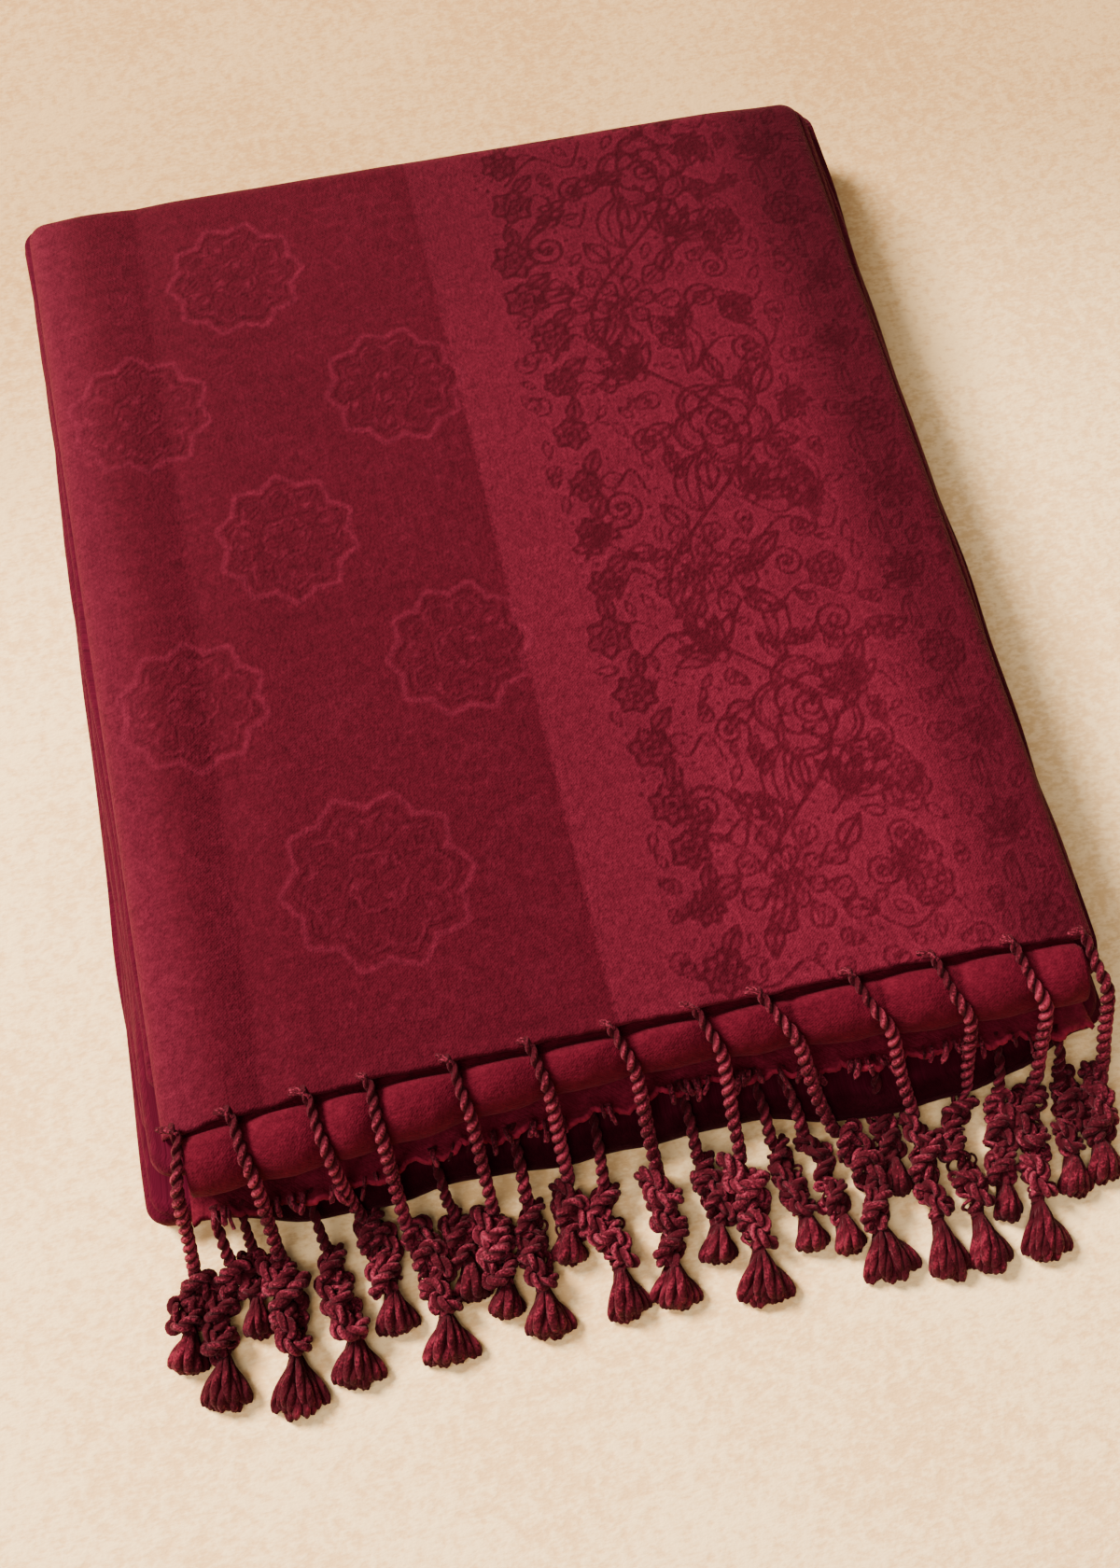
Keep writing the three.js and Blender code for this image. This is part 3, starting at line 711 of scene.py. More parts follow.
def leaf(x, y, length, breadth, turn, width, rib=True):
    t = np.linspace(0, 1, 16)
    side = breadth * np.sin(math.pi * t ** 0.8)
    ways = [side, -side] + ([side * 0] if rib else [])
    return [line(turned(x, y, length * t, way, turn), width) for way in ways]


def rosette(cx, cy, radius, petals, turn, width):
    strokes = [
        lobed(cx, cy, radius, petals, 0.28, width, turn),
        lobed(cx, cy, radius * 0.66, petals, 0.22, width * 0.8, turn),
        ring(cx, cy, radius * 0.28, width),
    ]
    for k in range(petals):
        angle = turn + (k + 0.5) * 2 * math.pi / petals
        ends = [off(cx, cy, radius * 0.36, angle), off(cx, cy, radius * 0.72, angle)]
        strokes.append(line(ends, width * 0.8))
    return strokes


def rose(cx, cy, radius, turn, width):
    """An open rose: a coiled heart, crescent petals round it and a lobed outer ring."""
    strokes = [spiral(cx, cy, radius * 0.05, radius * 0.34, 1.8, turn, width)]
    for k in range(5):
        start = turn + k * 2 * math.pi / 5
        angles = np.linspace(start, start + 1.75, 18)
        swell = np.sin(np.linspace(0, math.pi, 18))
        strokes.append(polar(cx, cy, angles, radius * (0.42 + 0.20 * swell), width))
        angles = np.linspace(start + 0.6, start + 2.1, 18)
        strokes.append(polar(cx, cy, angles, radius * (0.64 + 0.34 * swell ** 0.7), width))
        inner = radius * (0.60 + 0.26 * swell[3:-3])
        strokes.append(polar(cx, cy, angles[3:-3], inner, width * 0.7))
    return strokes


def petal(x, y, length, breadth, turn, width, veins=0):
    """A broad petal, widest near its tip, with a small notch there."""
    t = np.linspace(0, 1, 20)
    side = breadth * np.sin(math.pi * t ** 1.5) ** 0.8
    strokes = [line(turned(x, y, length * t, hand * side, turn), width) for hand in (1, -1)]
    for k in range(veins):
        lean = 0.45 * breadth * (k - (veins - 1) / 2)
        vein = turned(x, y, length * np.array([0.3, 0.75]), lean, turn)
        strokes.append(line(vein, width * 0.7))
    return strokes


def medallion(cx, cy, radius, turn):
    """The light and the dark strokes of one medallion with ten pointed lobes."""
    light = [
        lobed(cx, cy, radius, 10, 0.15, 0.62, turn, 0.06),
        lobed(cx, cy, radius * 0.79, 10, 0.14, 0.16, turn + 0.05, 0.04),
        lobed(cx, cy, radius * 0.34, 6, 0.18, 0.14, turn + 0.3),
    ]
    dark = [
        lobed(cx, cy, radius * 0.875, 10, 0.16, 0.42, turn, 0.05),
        lobed(cx, cy, radius * 0.40, 6, 0.18, 0.36, turn + 0.3),
    ]

    def dash(away, angle, width):
        x, y = off(cx, cy, away, angle)
        light.append(line([(x, y), (mix(cx, x, 0.9), mix(cy, y, 0.9))], width))

    for k in range(10):
        angle = turn + k * 2 * math.pi / 10
        dark += petal(
            *off(cx, cy, radius * 0.42, angle), radius * 0.40, radius * 0.125, angle, 0.34)
        if k % 3 == 0:
            dash(radius * 0.66, angle, 0.45)
        else:
            dark.append(ring(*off(cx, cy, radius * 0.66, angle), radius * 0.05, 0.4))
        dash(radius * 0.70, angle + math.pi / 10, 0.2)
    for k in range(6):
        angle = turn + 0.3 + k * 2 * math.pi / 6
        dark += petal(cx, cy, radius * 0.33, radius * 0.09, angle, 0.34)
        if k % 2:
            light.append(ring(*off(cx, cy, radius * 0.24, angle), radius * 0.03, 0.3))
    return light, dark


def peony(cx, cy, radius, turn, width):
    """A full blossom: two rounds of broad veined petals about a small ringed heart."""
    strokes = [
        ring(cx, cy, radius * 0.13, width),
        spiral(cx, cy, 0.1, radius * 0.1, 1.2, turn, width),
    ]
    for count, near, long, broad, veins in ((8, 0.50, 0.52, 0.21, 2), (6, 0.17, 0.38, 0.15, 1)):
        for k in range(count):
            angle = turn + near + k * 2 * math.pi / count
            foot = off(cx, cy, radius * near, angle)
            strokes += petal(*foot, radius * long, radius * broad, angle, width, veins)
    return strokes


def curved_leaf(x, y, length, breadth, turn, bend, width):
    """A long leaf that curls to one side, with a rib and a serrated outer edge."""
    t = np.linspace(0, 1, 26)
    ahead = turn + bend * t
    step = length / 25
    mid_x = x + np.cumsum(np.cos(ahead)) * step
    mid_y = y + np.cumsum(np.sin(ahead)) * step
    mid = np.stack([mid_x, mid_y], axis=1)
    aside = np.stack([-np.sin(ahead), np.cos(ahead)], axis=1)
    swell = breadth * np.sin(math.pi * t ** 0.85)
    teeth = 1 + 0.16 * np.abs(np.sin(t * 16))
    return [
        line(mid, width * 0.9),
        line(mid + aside * swell[:, None], width),
        line(mid - aside * (swell * teeth)[:, None], width),
    ]


def lotus(x, y, size, turn, width):
    """A half-open blossom: a fan of long petals from one base, with a bud between them."""
    strokes = []
    for k, lean in enumerate((-1.15, -0.75, -0.36, 0.0, 0.36, 0.75, 1.15)):
        long = size * (1.0 - 0.10 * abs(lean)) * (0.9 if k % 2 else 1.05)
        strokes += leaf(x, y, long, size * 0.17, turn + lean, width, k % 2 == 1)
    strokes.append(ring(*off(x, y, -size * 0.12, turn), size * 0.14, width))
    return strokes


def scroll(x, y, size, turn, hand, width):
    """A coiled tendril with a tail, and small leaves along the tail."""
    angles = np.linspace(0, 2.1 * 2 * math.pi, 70)
    radii = size * (0.08 + 0.92 * (angles / angles[-1]) ** 1.3)
    coil = polar(x, y, hand * angles + turn, radii, width)
    end_turn = hand * angles[-1] + turn
    ahead = end_turn + hand * math.pi / 2
    tail = [off(x, y, size, end_turn)]
    for step in range(1, 5):
        ahead += -hand * 0.34
        tail.append(off(*tail[-1], 0.55 * size, ahead))
    strokes = [coil, line(curve_through(tail), width)]
    for place in tail[1:4]:
        strokes += leaf(*place, size * 0.75, size * 0.2, ahead + hand * 1.2, width, False)
        strokes += leaf(*place, size * 0.6, size * 0.18, ahead - hand * 1.4, width, False)
    return strokes


def border_motifs():
    """The floral border: a waving stem with large blossoms, and rows of smaller forms beside it."""
    chance = random.Random(41)
    strokes = []
    discs = []
    stem_y = np.linspace(-112, 140, 19)
    stem_x = 56 + 17 * np.sin(stem_y / 15.6)
    strokes.append(line(curve_through(np.stack([stem_x, stem_y], axis=1)), 0.6))
    for k in range(6):
        y = -116 + 49 * k
        hand = 1 if k % 2 else -1
        x = 60 + 9 * hand
        size = chance.uniform(14.5, 17.5)
        if k % 2:
            strokes += rose(x, y, size, chance.uniform(0, 6), 0.6)
        else:
            strokes += peony(x, y, size * 1.05, chance.uniform(0, 6), 0.52)
        strokes += curved_leaf(
            x - 6 * hand, y + size + 3, 24, 3.4, 1.57 - 0.8 * hand, 1.9 * hand, 0.52)
        strokes += curved_leaf(x + 13 * hand, y - size + 1, 20, 2.8, -0.3 * hand, -1.7 * hand, 0.5)
        strokes += lotus(x - 21 * hand, y + 22, size * 0.86, 1.57 + 0.6 * hand, 0.55)
        strokes += scroll(x + 17 * hand - 2, y + 25, 7.0, chance.uniform(0, 6), hand, 0.58)
        strokes += scroll(x - 24 * hand, y - 3, 5.5, chance.uniform(0, 6), -hand, 0.55)
        for j in range(5):
            angle = chance.uniform(0, 0.6) + j * 2 * math.pi / 5
            long = chance.uniform(9, 13)
            broad = chance.uniform(2.4, 3.4)
            strokes += leaf(*off(x, y, size * 0.98, angle), long, broad, angle + 0.5, 0.55)
    for k in range(17):
        y = -139 + k * 17.4 + chance.uniform(-2, 2)
        x = 20.5 + chance.uniform(-2, 5)
        size = chance.uniform(4.6, 6.6)
        lobes = chance.choice((6, 7, 8))
        strokes.append(lobed(x, y, size, lobes, 0.34, 0.6, chance.uniform(0, 6), 0.12))
        strokes.append(lobed(x, y, size * 0.5, 5, 0.3, 0.5, chance.uniform(0, 6)))
        strokes.append(ring(x, y, size * 0.14, 0.5))
        discs.append((x, y, size))
        lean = chance.uniform(0.3, 1.9)
        strokes += leaf(x + 2, y + size * 0.9, 8.5, 2.4, lean, 0.5)
        discs.append((*off(x + 2, y + size * 0.9, 4, lean), 2.6))
        strokes.append(line(curve_through([(x + 3, y), (x + 8, y + 3), (x + 12, y + 1)]), 0.45))
    for k in range(9):
        y = -128 + k * 33 + chance.uniform(-4, 4)
        x = 88 + chance.uniform(-4, 2)
        size = chance.uniform(5.0, 7.5)
        if k % 3 == 2:
            strokes += lotus(x, y, size * 1.5, chance.uniform(0, 6), 0.5)
        else:
            strokes += rosette(x, y, size, chance.choice((5, 6, 8)), chance.uniform(0, 6), 0.5)
            discs.append((x, y, size))
        strokes += scroll(x - 3, y + 16, 4.6, chance.uniform(0, 6), 1, 0.5)
    for k in range(11):
        y = -140 + k * 27.5 + chance.uniform(-3, 3)
        size = chance.uniform(5.5, 8.6)
        x = 113 + chance.uniform(-3, 3)
        kind = k % 3
        if kind == 0:
            strokes += rosette(x, y, size, 8, chance.uniform(0, 6), 0.5)
            discs.append((x, y, size))
        elif kind == 1:
            strokes += lotus(x, y - 4, size * 1.5, chance.uniform(0.8, 2.3), 0.5)
        else:
            strokes += peony(x, y, size * 1.1, chance.uniform(0, 6), 0.44)
        strokes += curved_leaf(x - 3, y + size + 1, 13, 2.2, 2.3, -1.4, 0.46)
        strokes += leaf(x + 3, y + size + 0.5, 8, 2.3, 1.0, 0.46)
    for k in range(13):
        y = -134 + 22 * k + chance.uniform(-4, 4)
        far = chance.uniform(40, 58)
        bend = chance.choice((-9, 9))
        inner = [
            (24, y), (mix(24, far, 0.4), y + bend),
            (mix(24, far, 0.8), y + 0.4 * bend), (far, y + 1.4 * bend),
        ]
        outer = [(66, y + 8), (78, y + 8 + bend), (90, y + 8 + 0.3 * bend), (95, y + 8 + bend)]
        strokes.append(line(curve_through(inner), 0.5))
        strokes.append(line(curve_through(outer), 0.48))
    return fill_gaps(strokes, chance), discs


def fill_gaps(strokes, chance):
    """Small leaves, curls, buds and dots wherever the border still has room."""
    taken = KDTree(MOST_STROKE_PLACES)
    for stroke in strokes:
        for x, y, width in stroke[::2]:
            taken.insert((x, y, 0), 0)
    taken.balance()
    added = []
    for attempt in range(GAP_TRIES):
        x = chance.uniform(14.5, 124)
        y = chance.uniform(-144, 147)
        if BORDER_LANE[0] < x < BORDER_LANE[1]:
            continue
        room = taken.find((x, y, 0))[2] - 0.5
        beside = min([math.hypot(x - ax, y - ay) - reach for ax, ay, reach in added] or [99])
        reach = min(room, beside, 6.0)
        if reach < 1.7:
            continue
        turn = chance.uniform(0, 2 * math.pi)
        if x > 70 and reach < 3.4 and chance.random() < 0.75:
            continue
        if reach > 4.0:
            strokes.append(spiral(x, y, 0.5, reach * 0.75, 1.4, turn, 0.46))
            strokes += leaf(x, y, reach * 1.2, reach * 0.36, turn + 2.2, 0.42, False)
        elif reach > 2.5:
            foot = off(x, y, -reach * 0.9, turn)
            strokes += leaf(*foot, reach * 1.8, reach * 0.40, turn, 0.42, False)
        else:
            strokes.append(ring(x, y, 0.4, 0.4))
        added.append((x, y, reach * 0.85))
    return strokes


def field_motifs():
    """The field's medallions, and faint curls and leaves between them."""
    light, dark, ghost, discs = [], [], [], []
    chance = random.Random(7)
    for k, (x, y, size) in enumerate(MEDALLIONS):
        more_light, more_dark = medallion(x, y, size, 0.31 * k)
        if k < CLEAR_MEDALLIONS:
            light += more_light
            dark += more_dark
            discs.append((x, y, size * 0.84))
        else:
            ghost += more_light + more_dark[:2]
    for attempt in range(FIELD_TRIES):
        x = chance.uniform(-118, -12)
        y = chance.uniform(-140, 140)
        near = min(math.hypot(x - mx, y - my) - size for mx, my, size in MEDALLIONS)
        if near < 7:
            continue
        turn = chance.uniform(0, 6.28)
        size = chance.uniform(3, 6)
        kind = chance.random()
        if kind < 0.4:
            ghost.append(spiral(x, y, 0.6, size, 1.2, turn, 0.4))
        elif kind < 0.8:
            ghost += leaf(x, y, size * 2, size * 0.5, turn, 0.4, False)
        else:
            ghost.append(lobed(x, y, size, 6, 0.25, 0.4, turn))
    for y in (-118, -52, 8, 40, 100):
        ghost.append(line(curve_through([(-12, y), (-9, y + 6), (-11, y + 12), (-8, y + 17)]), 0.4))
    return light, dark, ghost, discs


def distance_to(strokes, x, y):
    """The distance in mm from each place to the edge of the nearest stroke."""
    points = np.concatenate(strokes)
    tree = KDTree(len(points))
    for index, (px, py, width) in enumerate(points):
        tree.insert((px, py, 0), index)
    tree.balance()
    out = np.full(x.size, FAR_AWAY)
    for k, (px, py) in enumerate(zip(x.flat, y.flat)):
        place, index, away = tree.find((px, py, 0))
        out[k] = away - points[index, 2]
    return np.minimum(out, FAR_AWAY)


def distance_to_discs(discs, x, y):
    out = np.full(x.size, FAR_AWAY)
    for cx, cy, radius in discs:
        out = np.minimum(out, np.hypot(x.ravel() - cx, y.ravel() - cy) - radius)
    return out


# Cloth forms

def free_edge_y(x):
    return FREE_EDGE - FREE_EDGE_TIPS * (np.abs(x) / (PANEL_WIDTH / 2)) ** 6


def panel_sink(x, y):
    wave = PANEL_WAVE * (1 - np.sin(y / 31 + x / 47))
    return wave + EDGE_DROP * smooth(128, 148, -y)


def panel_relief(x, y):
    """Soft creases and slopes of the top layer, in mm above its plain form."""
    crease_x = -93 - 7 * (146 - y) / 290
    crease = -CREASE_DEPTH * np.exp(-((x - crease_x) / 2.0) ** 2)
    left_dip = -LEFT_DIP * np.exp(-((x - crease_x - 1) / 8.5) ** 2)
    left_slope = -LEFT_SLOPE * smooth(-107, -125, x)
    right_slope = -RIGHT_SLOPE * smooth(94, 122, x)
    bumps = BUMP_HEIGHT["large"] * np.sin(x / 19 + 1.3 * np.sin(y / 37)) * np.sin(y / 27 + x / 61)
    small = BUMP_HEIGHT["small"] * np.sin(x / 6.1 + y / 9.3) * np.sin(y / 7.7 - x / 12.1)
    stripe = -STRIPE_SUNK * smooth(-9, -6, x) * smooth(13, 10, x)
    return crease + left_dip + left_slope + right_slope + bumps + small + stripe


def edge_lift(x):
    """How far the free edge lifts and dips along its length."""
    lift = 0.35 * wander(x, 5, (31, 17, 9))
    for cord in UPPER_CORDS:
        lift = lift + 0.5 * np.exp(-((x - cord["root_x"]) / 3.0) ** 2)
    return lift


def lid_places(across, along):
    """Places on the top layer, rolled down past its flat part."""
    flat_x = np.clip(across, FLAT_LEFT, FLAT_RIGHT)
    flat_y = np.minimum(along, FLAT_BACK)
    over_x = across - flat_x
    over_y = along - flat_y
    over = np.hypot(over_x, over_y)
    square = np.maximum(np.abs(over_x), np.abs(over_y))
    angle = np.minimum(square / LID_ROLL, 2.0)
    out = np.where(over > 0, LID_ROLL * np.sin(angle) / np.maximum(over, 1e-6), 0)
    lift = panel_relief(flat_x, flat_y) - panel_sink(flat_x, flat_y)
    z = PILE_HEIGHT - LID_ROLL + (LID_ROLL + lift) * np.cos(angle)
    return np.stack([flat_x + over_x * out, flat_y + over_y * out, z], axis=-1)


def top_cloth():
    """The top layer: a flat grid rolled down at three sides, with a round rim at its free edge."""
    bend = LID_ROLL * 1.9
    across = np.concatenate([
        np.linspace(FLAT_LEFT - bend, FLAT_LEFT, ROLL_STEPS)[:-1],
        np.linspace(FLAT_LEFT, STRIPE_RIGHT, FIELD_STEPS)[:-1],
        np.linspace(STRIPE_RIGHT, FLAT_RIGHT, BORDER_STEPS)[:-1],
        np.linspace(FLAT_RIGHT, FLAT_RIGHT + bend, ROLL_STEPS),
    ])
    shares = np.concatenate([
        np.linspace(0, 1, LENGTH_STEPS)[:-1],
        1 + np.linspace(0, bend, ROLL_STEPS) / (FLAT_BACK - FREE_EDGE),
    ])
    x, share = np.meshgrid(across, shares)
    inside_x = np.clip(x, FLAT_LEFT, FLAT_RIGHT)
    front = free_edge_y(inside_x) + 0.5 * wander(inside_x, 3, (23, 11, 6))
    over_back = FLAT_BACK + (share - 1) * (FLAT_BACK - FREE_EDGE)
    y = np.where(share < 1, mix(front, FLAT_BACK, share), over_back)
    top = lid_places(x, y)
    near_edge = np.exp(-(y - front) / 3.0)
    top[..., 2] += np.where(share < 1, edge_lift(inside_x) * near_edge, 0)
    rim = []
    rim_flat = []
    radius = CLOTH / 2
    for angle in np.radians([155, 110, 65, 25]):
        row = top[0].copy()
        row[:, 1] -= radius * math.sin(angle)
        row[:, 2] -= radius * (1 + math.cos(angle))
        rim.append(row)
        rim_flat.append(np.stack([x[0], y[0] - (math.pi - angle) * radius], axis=-1))
    under = []
    under_flat = []
    for back in (9.0, 4.0, 0.6):
        row = top[0].copy()
        row[:, 1] += back
        row[:, 2] -= CLOTH
        under.append(row)
        under_flat.append(np.stack([x[0], y[0] - 4 - back], axis=-1))
    places = np.concatenate([np.array(under), np.array(rim[::-1]), top])
    top_flat = np.stack([x, y], axis=-1)
    flat = np.concatenate([np.array(under_flat), np.array(rim_flat[::-1]), top_flat])
    light, dark, ghost, discs = field_motifs()
    border, border_discs = border_motifs()
    flat_x, flat_y = flat[..., 0], flat[..., 1]
    facts = {
        "dark": distance_to(dark + border, flat_x, flat_y),
        "light": distance_to(light, flat_x, flat_y),
        "ghost": distance_to(ghost, flat_x, flat_y),
        "fill": distance_to_discs(discs + border_discs, flat_x, flat_y),
    }
    return cloth_from_grid("top_cloth", places, flat, PANEL_CLOTH, facts=facts)


def fold_front(x):
    return FOLD_FRONT + FOLD_BOW * np.cos(math.pi * x / 115)


def fold_puff(x):
    marks = [cord["band_x"] for cord in UPPER_CORDS]
    puff = np.zeros_like(x)
    for first, second in zip(marks, marks[1:]):
        share = np.clip((x - first) / (second - first), 0, 1)
        puff = puff + FOLD_PUFF * np.sin(math.pi * share) ** 0.8 * (share > 0) * (share < 1)
    return puff - 0.7


def band_open(x, y):
    """0 under the top layer, and 1 where the fold has risen to its full height before it."""
    edge = free_edge_y(x)
    return smooth(edge - 0.4, edge - 4.4, y)


def front_band():
    """The wide round fold, with a leg under the top layer and soft swells between the cords."""
    columns = np.arange(FLAT_LEFT - 1.5, FLAT_RIGHT + 1.6, BAND_STEP)
    turns = np.radians(np.arange(0, 181, 4))
    x, turn = np.meshgrid(columns, turns)
    middle = fold_front(x) + FOLD_RADIUS
    plain_y = middle - FOLD_RADIUS * np.sin(turn)
    pleats = FOLD_PLEAT * wander(x + 5 * turn, 8, (13, 7, 29)) * np.sin(turn)
    swell = (fold_puff(x) + pleats) * band_open(x, plain_y) * smooth(2.3, 0.9, turn)
    radius = FOLD_RADIUS + swell
    y = middle - radius * np.sin(turn)
    z = FOLD_MIDDLE_Z + radius * np.cos(turn) - BAND_DROP * (1 - band_open(x, plain_y))
    round_part = np.stack([x, y, z], axis=-1)
    back = round_part[0].copy()
    back[:, 1] = FOLD_LEG_BACK["top"]
    fold_top = FOLD_MIDDLE_Z + FOLD_RADIUS
    top_leg = []
    for share in np.linspace(0, 1, 13)[:-1]:
        row = mix(back, round_part[0], share)
        opened = band_open(columns, row[:, 1])
        row[:, 2] = fold_top + fold_puff(columns) * opened - BAND_DROP * (1 - opened)
        top_leg.append(row)
    last = round_part[-1].copy()
    last[:, 1] = FOLD_LEG_BACK["bottom"]
    places = np.concatenate([np.array(top_leg), round_part, [last]])
    steps = np.linalg.norm(np.diff(places, axis=0), axis=2).mean(axis=1)
    far = -np.concatenate([[0], np.cumsum(steps)])
    flat = np.stack(np.broadcast_arrays(columns, far[:, None]), axis=-1)
    return thicken(cloth_from_grid("front_band", places[::-1], flat[::-1], PLAIN_CLOTH), CLOTH)


def thicken(piece, thickness):
    solidify = piece.modifiers.new("cloth thickness", "SOLIDIFY")
    solidify.thickness = thickness * MM
    solidify.offset = -1
    return piece


def end_front(x):
    return fold_front(x) - END_PAST_FOLD + 0.9 * np.sin(x / 11)


def raw_end():
    """The lower end's frayed edge, which shows under the round fold and curls up at its rim."""
    columns = np.arange(-PANEL_WIDTH / 2, PANEL_WIDTH / 2 + 0.1, END_STEP)
    shares = np.array([0, 0.03, 0.07, 0.11, 0.16, 0.3, 0.6, 1.0])
    x, share = np.meshgrid(columns, shares)
    chance = np.random.default_rng(5)
    teeth = chance.uniform(-0.5, 0.4, len(columns)) + 1.9 * wander(columns, 21, (17, 6.3, 3.9))
    front = end_front(columns) + teeth
    y = mix(front, END_BACK, share)
    curl = END_CURL * (1 - share) ** 6 * (1 + 0.45 * wander(columns, 14, (19, 8)))
    z = END_UNDERSIDE + CLOTH / 2 + curl + 0 * x
    places = np.stack([x, y, z], axis=-1)
    flat = np.stack([x, y], axis=-1)
    # Painted light: the raw end lighter where the round fold shades it, most at its frayed rim, and
    # not at the left, where the key lamp reaches it
    facts = {"frayed": (0.5 + 0.5 * smooth(2.2, 0.6, y - front)) * smooth(-112, -85, x)}
    return thicken(cloth_from_grid("raw_end", places, flat, END_CLOTH, facts=facts), END_THICK)


def stack_detail(z, place, seed):
    """How far each thin layer at the pile's side reaches, rounded, with its own slow waves."""
    fold = LAYER * THIN_FOLD_SHARE
    low = np.floor(z / LAYER)
    inside = z - low * LAYER
    if seed == 2:
        inside = LAYER - inside
    in_fold = inside < fold
    q = np.where(in_fold, 2 * inside / fold - 1, 2 * (inside - fold) / (LAYER - fold) - 1)
    depth = np.where(in_fold, THIN_FOLD_DEPTH, GROOVE_DEPTH)
    thin = low * 2 + np.where(in_fold, 0, 1)
    slow = np.zeros_like(place + z)
    for k in range(THIN_LAYERS):
        slow = slow + (thin == k) * LAYER_WANDER * wander(place, 100 * seed + k, (170, 83, 47))
        slow = slow + (thin == k) * (LAYER_OUT * math.sin(7.3 * k * seed) - LAYER_IN)
    return slow - depth * (1 - half_round(np.clip(q, -1, 1)))


def side_reach(z, along, y, side):
    """How far the pile reaches at one side, from its foot to the top layer over it."""
    foot = mix(side["foot_front"], side["foot_back"], along)
    lean = (np.minimum(z, LEDGE_Z) / LEDGE_Z) ** side["lean"]
    reach = mix(foot, side["ledge"], lean) + stack_detail(z, y, side["seed"])
    return np.where(z > LEDGE_Z, under_lid(z, side["lid"]), reach)


def under_lid(z, reach):
    roll = LID_ROLL - CLOTH - SEAM_GAP
    start = PILE_HEIGHT - LID_ROLL
    over = np.maximum(0, z - start) / (CORE_TOP - start + 0.05)
    return reach - CLOTH - SEAM_GAP - roll * (1 - half_round(np.clip(over, -1, 1)))


def back_reach(z, x):
    """The back: one large round fold, a small one over it and the top layer's roll."""
    small_round = half_round(np.clip((z - LEDGE_Z) / LAYER, -1, 1))
    small = INNER_BACK_FOLD - SMALL_FOLD_INSET * (1 - small_round)
    q = np.abs(np.minimum(z, LARGE_FOLD_Z) / (2 * LAYER) - 1)
    large = OUTER_BACK_FOLD - LARGE_FOLD_INSET * (1 - (1 - q ** 2.5) ** 0.4)
    creases = 0.35 * (np.cos(z * 1.9 + x / 40) > 0.93)
    large = large + 0.5 * wander(x + 3 * z, 31, (140, 61)) - creases
    upper = np.where(z > LEDGE_Z, under_lid(z, LID_BACK), small)
    return np.where(z > LARGE_FOLD_Z, upper, large)


def front_reach(z, x):
    """The front: the low fold on the floor, the notch over it and the core of the round fold."""
    middle = fold_front(x) + FOLD_RADIUS
    core = middle - FOLD_CORE * half_round(np.clip((z - FOLD_MIDDLE_Z) / FOLD_CORE, -1, 1))
    low_round = half_round(np.clip(z / LAYER - 1, -1, 1))
    low = LOW_FOLD_FRONT + LAYER * (1 - low_round)
    low = low + LOW_FOLD_WANDER * wander(x, 17, (41, 23, 71)) * low_round
    more = MORE_BULGE["reach"] * np.exp(-((x - MORE_BULGE["x"]) / MORE_BULGE["width"]) ** 2)
    low = low - (LOW_FOLD_BULGE + more) * smooth(-119, -96, x) * smooth(126, 104, x)
    out = np.where(z > NOTCH_Z, NOTCH_BACK, low)
    out = np.where(np.abs(z - FOLD_MIDDLE_Z) < FOLD_CORE, core, out)
    return np.where(z > FOLD_MIDDLE_Z + FOLD_CORE, FOLD_LEG_BACK["top"] + SEAM_GAP, out)


def outline_shares():
    """One section's outline as shares of its width and length, with rounded corners."""
    corner_x = 0.024
    corner_y = 0.020
    turn = np.linspace(0, math.pi / 2, 9)[1:-1]
    parts = []

    def side(count, start, end):
        share = np.linspace(0, 1, count)[:, None]
        parts.append(np.array(start) * (1 - share) + np.array(end) * share)

    def corner(cx, cy, start):
        parts.append(np.stack(
            [cx + corner_x * np.cos(start + turn), cy + corner_y * np.sin(start + turn)], axis=1))

    side(90, (corner_x, 0), (1 - corner_x, 0))
    corner(1 - corner_x, corner_y, -math.pi / 2)
    side(120, (1, corner_y), (1, 1 - corner_y))
    corner(1 - corner_x, 1 - corner_y, 0)
    side(60, (1 - corner_x, 1), (corner_x, 1))
    corner(corner_x, 1 - corner_y, math.pi / 2)
    side(120, (0, 1 - corner_y), (0, corner_y))
    corner(corner_x, corner_y, math.pi)
    return np.concatenate(parts)


